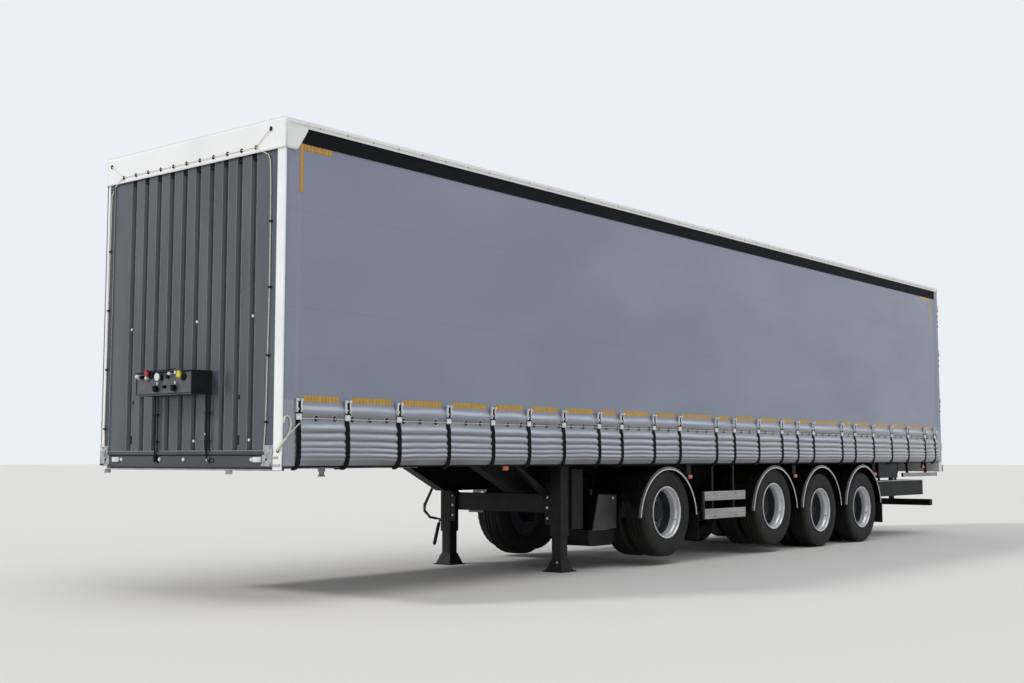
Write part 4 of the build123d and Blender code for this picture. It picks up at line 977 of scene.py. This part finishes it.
for (number, name), (low, high) in wheel_boxes.items():
    side = dict(SIDES)[name]
    body = f"wheel_{number}_{name}"
    tyre_low, tyre_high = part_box(f"tyres_{number}_{name}")
    twin_y = (tyre_low.y + tyre_high.y) / 2
    outer = (tyre_high.y - tyre_low.y) / 2 - TYRE_HALF
    origin, out = Vector(((low.x + high.x) / 2, twin_y, (low.z + high.z) / 2)), Vector((0, side, 0))
    tyres, rims, dish, hub, nuts, hand_holes = shapes(6)
    for way in (-1, 1):
        add_tyre(tyres, origin + Vector((0, way * outer, 0)))
    rims.turned(origin, out, RIM_OUTER, 96, close_profile=True)
    stem = round_wheel(radians(200))
    rims.tube([origin + out * along + stem * radius for along, radius in VALVE], 0.005, 8)
    dish.turned(origin, out, DISH + RIM_INNER + BARREL, 96, close_profile=True)
    hub.turned(origin, out, HUB, 40)
    hub.turned(origin, out, DRUM, 48, close_profile=True)
    for turn in angles(8):
        hub.nut(origin + out * 0.056 + round_wheel(turn) * 0.125, out, 0.009, 0.012)
    for turn in angles(10):
        spoke = round_wheel(turn + pi / 10)
        nuts.nut(origin + out * 0.035 + spoke * 0.16, out, 0.0165, 0.03)
        nuts.disc(origin + out * 0.06 + spoke * 0.16, out, 0.01, 0.016, 12)
        hand_holes.turned(origin + out * 0.0385 + spoke * 0.2035, out + spoke * 0.06, plug(0.019, 0.0022), 18)
    tyres.piece(f"twin_tyres_{number}_{name}", "tyre", body, (f"tyres_{number}_{name}",), "tyre", 38)
    # The dish, the inner rim and the barrel are silver steel, given a dark grey as painted shade
    dish.piece(f"wheel_dish_{number}_{name}", "rim_painted_shade", body)
    rims.piece(f"twin_rims_{number}_{name}", "rim_silver", body, (f"rims_{number}_{name}",), "rim_silver", 30)
    hub.piece(f"hub_{number}_{name}", "axle_black", body)
    nuts.piece(f"wheel_nuts_{number}_{name}", "galvanised", body)
    hand_holes.piece(f"hand_holes_{number}_{name}", "socket_black", body)

# Spare wheel
spare_low, spare_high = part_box("spare_tyre")
spare = (spare_low + spare_high) / 2
spare_tyre, spare_rim, clamp = shapes(3)
add_tyre(spare_tyre, spare)
spare_tyre.piece("spare_wheel_tyre", "tyre", replaces=("spare_tyre",), slot="tyre", angle=38)
SPARE_PROFILE = mm(
    (-118, 288), (-123.5, 297), (-128, 297), (-129, 290), (-120, 280), (-85, 274), (-50, 258), (50, 252),
    (85, 242), (102, 225), (108, 190), (108, 145), (116, 145), (116, 190), (115, 230), (115, 270),
    (129, 283), (130, 296), (124, 297), (118, 288),
)
spare_rim.turned(spare, (0, 1, 0), SPARE_PROFILE, 64, close_profile=True)
# The spare's rim is silver steel, given a dark grey as painted shade
spare_rim.piece("spare_wheel_rim", "rim_painted_shade", replaces=("spare_rim",), slot="rim_silver")
clamp.disc(spare + Vector((0, 0.096, 0)), (0, 1, 0), 0.15, 0.01, 24)
clamp.nut(spare + Vector((0, 0.086, 0)), (0, 1, 0), 0.022, 0.014)
clamp.piece("spare_wheel_clamp", "frame_grey")

# Fenders: smooth arches with a turned-down lip, a light bead on its edge, stays, and the washers of these
ARCH_HEIGHT, ARCH_START = 0.5, 0.0952
FENDER_PROFILE = mm(
    # y, radius
    (640, 618), (640, 630), (652, 632), (800, 632), (812, 628.5), (842, 628.5), (854, 632), (1050, 632),
    (1062, 628.5), (1092, 628.5), (1104, 632), (1190, 632), (1202, 629), (1214, 631), (1246, 630),
    (1262, 624), (1270, 612), (1270, 592), (1266, 590), (1264, 594), (1264, 610), (1258, 618), (1244, 624),
    (652, 626), (646, 618),
)
STAY_RUN = ((0.506, 0.649), (0.58, 0.645), (0.655, 0.609), (0.9, 0.609), (1.2, 0.609))
arches, beads, washers, stays = shapes(4)
arch_steps = 84
sweep = pi - 2 * ARCH_START
for number in (1, 2, 3, 4):
    low, high = wheel_boxes[number, "left"]
    centre = Vector(((low.x + high.x) / 2, 0, ARCH_HEIGHT))
    arches.turned(centre, (0, 1, 0), FENDER_PROFILE, arch_steps, ARCH_START - pi, sweep, close_profile=True)
    bead = [centre + round_wheel(ARCH_START + sweep * n / arch_steps) * 0.5945 for n in range(arch_steps + 1)]
    for name, side in SIDES:
        beads.tube([p + Vector((0, side * 1.2705, 0)) for p in bead], 0.0062, 8)
        for out in (round_wheel(pi / 4), round_wheel(3 * pi / 4)):
            for y in (0.72, 1.16):
                spot = centre + Vector((0, side * y, 0)) + out * 0.6315
                washers.disc(spot, out, 0.014, 0.005, 14)
                washers.nut(spot + out * 0.004, out, 0.009, 0.006)
            stay = [centre + Vector((0, side * y, 0)) + out * radius for y, radius in STAY_RUN]
            stays.tube(stay, 0.017, 12)
arches.mirror()
fender_piece = arches.piece("fender_arches", "black_plastic", slot="black_plastic", angle=34)
beads.piece("fender_beads", "trim_white")
washers.piece("fender_bolts", "frame_grey")
stays.piece("fender_stays", "frame_grey", slot="black_plastic")
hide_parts("fenders")

# Side markers: a small lens in a black holder on its plate
holders, lenses = shapes(2)
marker_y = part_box("marker_lamps")[1].y
MARKER_LENS, MARKER_HOLDER = 0.042, 0.05
lamp_feet = {}
for p in spots("marker_lamps"):
    place = round(p.x, 2)
    lamp_feet[place] = min(p.z, lamp_feet.get(place, p.z))
lamp_x = sorted(lamp_feet)
for rear, front in zip(lamp_x[::2], lamp_x[1::2]):
    x, low = (rear + front) / 2, lamp_feet[rear]
    left, right = x - MARKER_HOLDER, x + MARKER_HOLDER
    holders.box((left, marker_y - 0.024, low - 0.004), (right, marker_y - 0.019, rave_bottom))
    holders.box((left, marker_y - 0.024, low - 0.006), (right, marker_y - 0.006, low + 0.05), 0.005, 2)
    lenses.box((x - MARKER_LENS, marker_y - 0.012, low - 0.001),
               (x + MARKER_LENS, marker_y + 0.006, low + 0.045), 0.008, 3)
    for place in (left + 0.006, right - 0.006):
        holders.disc((place, marker_y - 0.006, low + 0.021), (0, 1, 0), 0.004, 0.003, 10)
holders.mirror()
lenses.mirror()
holders.piece("marker_holders", "frame_grey", replaces=("marker_lamps",), slot="lamp_amber")
lenses.piece("marker_lenses", "lamp_amber", slot="lamp_amber")

# Side guards: grooved aluminium rails, their end caps, and the dark posts that carry them
rails, guard_posts, guard_ends = shapes(3)
guard = spots("side_guards")
guard_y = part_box("side_guards")[1].y
rail_ends = {}
for p in guard:
    if abs(p.y - guard_y) < 0.001:
        rail_ends.setdefault(round(p.z, 3), set()).add(round(p.x, 3))
rail_levels = sorted(rail_ends)
GUARD_POST, RAIL_FACE, RAIL_GROOVE = 0.02, 0.028, 0.024
for low, high in zip(rail_levels[::2], rail_levels[1::2]):
    rear, front = min(rail_ends[low]), max(rail_ends[low])
    tall = high - low
    section = [(0.0, 0.0), (RAIL_GROOVE, 0.0), (RAIL_FACE, 0.004)]
    for share in (0.16, 0.45, 0.74):
        section += [(RAIL_FACE, tall * share), (RAIL_GROOVE, tall * (share + 0.03)),
                    (RAIL_GROOVE, tall * (share + 0.09)), (RAIL_FACE, tall * (share + 0.12))]
    section += [(RAIL_FACE, tall - 0.004), (RAIL_GROOVE, tall), (0.0, tall)]
    rails.prism([(rear + 0.004, guard_y - RAIL_FACE + y, low + z) for y, z in section],
                (front - rear - 0.008, 0, 0))
    for x in (rear, front - 0.008):
        guard_ends.box((x, guard_y - 0.03, low - 0.002), (x + 0.008, guard_y + 0.001, high + 0.002), 0.003, 2)
post_inner = min(abs(p.y) for p in guard)
post_edges = levels([p for p in guard if abs(abs(p.z) - rave_bottom) < 0.001], 0)
for rear, front in zip(post_edges[::2], post_edges[1::2]):
    x = (rear + front) / 2
    bottom = min(p.z for p in guard if abs(p.x - rear) < 0.002)
    guard_posts.box((x - GUARD_POST, post_inner, bottom),
                    (x + GUARD_POST, guard_y - 0.029, rave_bottom), 0.003)
    for z in (bottom + 0.03, bottom + 0.3):
        if z < rave_bottom - 0.1:
            guard_ends.disc((x, guard_y + 0.0005, z), (0, 1, 0), 0.009, 0.004, 12)
front_end = max(rail_ends[rail_levels[0]])
guard_posts.box((front_end - 0.012, guard_y - 0.026, 0.486),
                (front_end + 0.05, guard_y + 0.004, 0.826), 0.004, 2)
for z in (0.515, 0.56, 0.635, 0.69, 0.745, 0.795):
    guard_ends.disc((front_end + 0.02, guard_y + 0.004, z), (0, 1, 0), 0.008, 0.004, 10)
for shape in (rails, guard_posts, guard_ends):
    shape.mirror()
rails.piece("guard_rails", "aluminium", replaces=("side_guards",), slot="aluminium")
guard_posts.piece("guard_posts", "frame_grey")
guard_ends.piece("guard_bolts", "leg_grey")

# Landing legs: bracket plate, bolts, and the rubber sleeves of the crank
leg_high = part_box("landing_legs")[1]
crank_low, crank_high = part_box("leg_crank")
leg_plates, leg_bolts, crank_sleeves = shapes(3)
leg_plates.box((leg_high.x - 0.07, 0.655, 0.5), (leg_high.x - 0.06, 0.775, leg_high.z - 0.18), 0.003)
leg_plates.mirror()
for name, side in SIDES:
    for z in (0.57, 0.685, 0.8):
        leg_bolts.disc((leg_high.x - 0.06, side * 0.69, z), AHEAD, 0.014, 0.012, 14, 0.004)
    leg_bolts.disc((leg_high.x - 0.022, side * (leg_high.y - 0.08), 0.105), AHEAD, 0.011, 0.01, 14, 0.003)
rod_y = (crank_low.y + crank_high.y) / 2 - 0.034
for radius, run in (
    (0.02, ((2.708, 0.468), (2.736, 0.38), (2.786, 0.226))),
    (0.0145, ((2.806, 0.906), (2.88, 0.79), (2.95, 0.68), (2.954, 0.622), (2.862, 0.541), (2.76, 0.524))),
):
    crank_sleeves.tube([(x, rod_y, z) for x, z in run], radius, 12)
leg_plates.piece("leg_brackets", "leg_grey")
leg_bolts.piece("leg_bolts", "trim_white")
crank_sleeves.piece("crank_sleeves", "black_rubber")

# Tool box: a lighter panel with a rivet, a black tray with round lower corners
tool_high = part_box("tool_box")[1]
tool_panel, tool_tray, tool_rivet = shapes(3)
PANEL_OUTLINE = ((1.862, 0.437), (2.314, 0.437), (2.198, 0.812), (1.862, 0.812))
tool_panel.prism([(x, tool_high.y - 0.002, z) for x, z in PANEL_OUTLINE], (0, 0.006, 0))
TRAY_ROUND, TRAY_BOTTOM = 0.079, 0.335
quarter = [pi / 2 * n / 6 for n in range(7)]
tray = [(tool_high.x + 0.004, 0.428), (1.886, 0.428)]
tray += [(1.965 - TRAY_ROUND * cos(a), TRAY_BOTTOM - TRAY_ROUND * sin(a)) for a in quarter]
tray += [(2.3 + TRAY_ROUND * sin(a), TRAY_BOTTOM - TRAY_ROUND * cos(a)) for a in quarter]
tool_tray.prism([(x, 0.596, z) for x, z in tray], (0, 0.364, 0))
tool_rivet.disc((1.93, tool_high.y + 0.003, 0.777), (0, 1, 0), 0.014, 0.006, 14, 0.003)
tool_panel.piece("tool_box_panel", "box_panel")
tool_tray.piece("tool_box_tray", "frame_grey")
tool_rivet.piece("tool_box_rivet", "trim_white")

# Pallet boxes: a light lip along the upper edge of the rear ones
rear_box = [p for p in spots("pallet_boxes") if p.x < -4 and p.z < 0.88]
lip_rear = min(p.x for p in rear_box)
lip_front, lip_y, lip_z = (max(p[axis] for p in rear_box) for axis in range(3))
lips = Shape()
lips.box((lip_rear, lip_y - 0.006, lip_z - 0.008), (lip_front, lip_y + 0.003, lip_z + 0.003), 0.001)
lips.mirror()
lips.piece("pallet_box_lips", "trim_white")

# Rear doors: rubber seals round each leaf, rod guides, and rivets down the edges
LEAF_INNER, LEAF_OUTER = 0.008, 1.165
for name, side in SIDES:
    body = f"door_{name}"
    face_x = min(p.x for p in spots(f"rear_door_{name}") if abs(p.y) < 0.6)
    leaf_low, leaf_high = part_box(f"rear_door_{name}")
    rods = [p.x for p in spots(f"lock_rods_{name}")]
    rod_x = (min(rods) + max(rods)) / 2
    seals, guides, rivets = shapes(3)
    for y0, y1, z0, z1 in (
        (LEAF_INNER, LEAF_INNER + 0.014, leaf_low.z, leaf_high.z),
        (LEAF_OUTER - 0.014, LEAF_OUTER, leaf_low.z, leaf_high.z),
        (LEAF_INNER, LEAF_OUTER, leaf_low.z, leaf_low.z + 0.016),
        (LEAF_INNER, LEAF_OUTER, leaf_high.z - 0.016, leaf_high.z),
    ):
        seals.box((face_x - 0.006, side * y0, z0), (face_x + 0.004, side * y1, z1), 0.002, 2)
    for y in (0.14, 0.81):
        for z in (1.26, 2.05, 2.84, 3.64):
            guides.box((rod_x - 0.02, side * (y - 0.032), z - 0.03),
                       (face_x + 0.001, side * (y + 0.032), z + 0.03), 0.005, 2)
            for dz in (-0.018, 0.018):
                for dy in (-0.022, 0.022):
                    rivets.disc((rod_x - 0.019, side * (y + dy), z + dz), -AHEAD, 0.005, 0.003, 10, 0.001)
    for n in range(17):
        z = leaf_low.z + 0.06 + n * (leaf_high.z - leaf_low.z - 0.12) / 16
        for y in (LEAF_INNER + 0.04, LEAF_OUTER - 0.04):
            rivets.disc((face_x + 0.001, side * y, z), -AHEAD, 0.006, 0.004, 10, 0.0015)
    seals.piece(f"door_seals_{name}", "black_rubber", body)
    guides.piece(f"rod_guides_{name}", "galvanised", body)
    rivets.piece(f"door_rivets_{name}", "trim_white", body)

# Rear lamps: a black frame, dividers and an amber and a clear part
lamp_low, lamp_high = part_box("rear_lamps")
lamp_inner = min(abs(p.y) for p in spots("rear_lamps"))
lamp_frames, lamp_amber, lamp_clear = shapes(3)


def across(share):
    return lamp_inner + (lamp_high.y - lamp_inner) * share


lamp_x = lamp_low.x
for z in (lamp_low.z, lamp_high.z):
    lamp_frames.box((lamp_x - 0.003, across(-0.02), z - 0.006),
                    (lamp_x + 0.03, across(1.02), z + 0.006), 0.003, 2)
for share in (0.0, 0.28, 0.52, 0.76, 1.0):
    y = across(share)
    lamp_frames.box((lamp_x - 0.003, y - 0.004, lamp_low.z), (lamp_x + 0.03, y + 0.004, lamp_high.z))
for shape, near, far in ((lamp_amber, 0.78, 0.98), (lamp_clear, 0.02, 0.26)):
    shape.box((lamp_x - 0.002, across(near), lamp_low.z + 0.007),
              (lamp_x + 0.01, across(far), lamp_high.z - 0.007), 0.003, 2)
for shape, name, finish in (
    (lamp_frames, "rear_lamp_frames", "black_plastic"), (lamp_amber, "rear_lamp_amber", "lamp_amber"),
    (lamp_clear, "rear_lamp_clear", "lamp_clear"),
):
    shape.mirror()
    shape.piece(name, finish)

# CAD nodes that stay take the finish of their slot, apart from the sill, which has its own
slot_of = {row["node"]: row["material_slot"] for row in frame["record"]["subparts"]}
for node, made in NODES.items():
    made.data.materials.clear()
    made.data.materials.append(MATERIALS["sill_slate" if node == "front_sill" else slot_of[node]])
    made.data.shade_smooth()
    made.data.set_sharp_from_angle(angle=radians(28))

# Floor, backdrop and light
floor_material = bpy.data.materials.new("floor_pale")
tree = new_tree(floor_material)
ramp = add(tree, "ValToRGB", fac=add(tree, "TexNoise", scale=0.4, detail=6.0).outputs["Fac"])
ramp.color_ramp.elements[0].color = srgb(214, 211, 206)
ramp.color_ramp.elements[1].color = srgb(224, 222, 218)
for socket, value in (("Roughness", 0.9), ("Base Color", ramp.outputs["Color"])):
    feed(tree, tree.nodes["Principled BSDF"].inputs[socket], value)
bpy.ops.mesh.primitive_plane_add(size=400, location=(0, 0, 0))
ground = bpy.context.object
ground.name = "ground"
ground.data.materials.append(floor_material)

# The world shows at full strength to the camera and in reflections, and lights the trailer less
WORLD_LIGHT = 0.58
world = bpy.data.worlds.new("studio")
bpy.context.scene.world = world
tree = new_tree(world)
paths = tree.nodes.new("ShaderNodeLightPath").outputs
seen = maths(tree, "MAXIMUM", paths["Is Camera Ray"], paths["Is Glossy Ray"])
seen = maths(tree, "MAXIMUM", seen, paths["Is Transmission Ray"])
sky = tree.nodes["Background"].inputs
feed(tree, sky["Color"], srgb(236, 240, 246))
feed(tree, sky["Strength"], ranged(tree, seen, 0.0, 1.0, WORLD_LIGHT, 1.0))
for name, direction, strength, angle in (
    ("key", (-0.66, 0.4, -0.64), 1.35, 9), ("overhead", (-0.06, -0.3, -0.95), 0.85, 44)
):
    light = bpy.data.lights.new(name, "SUN")
    light.energy = strength
    light.angle = radians(angle)
    made = bpy.data.objects.new(name, light)
    made.rotation_mode = "QUATERNION"
    made.rotation_quaternion = Vector(direction).to_track_quat("-Z", "Y")
    bpy.context.scene.collection.objects.link(made)
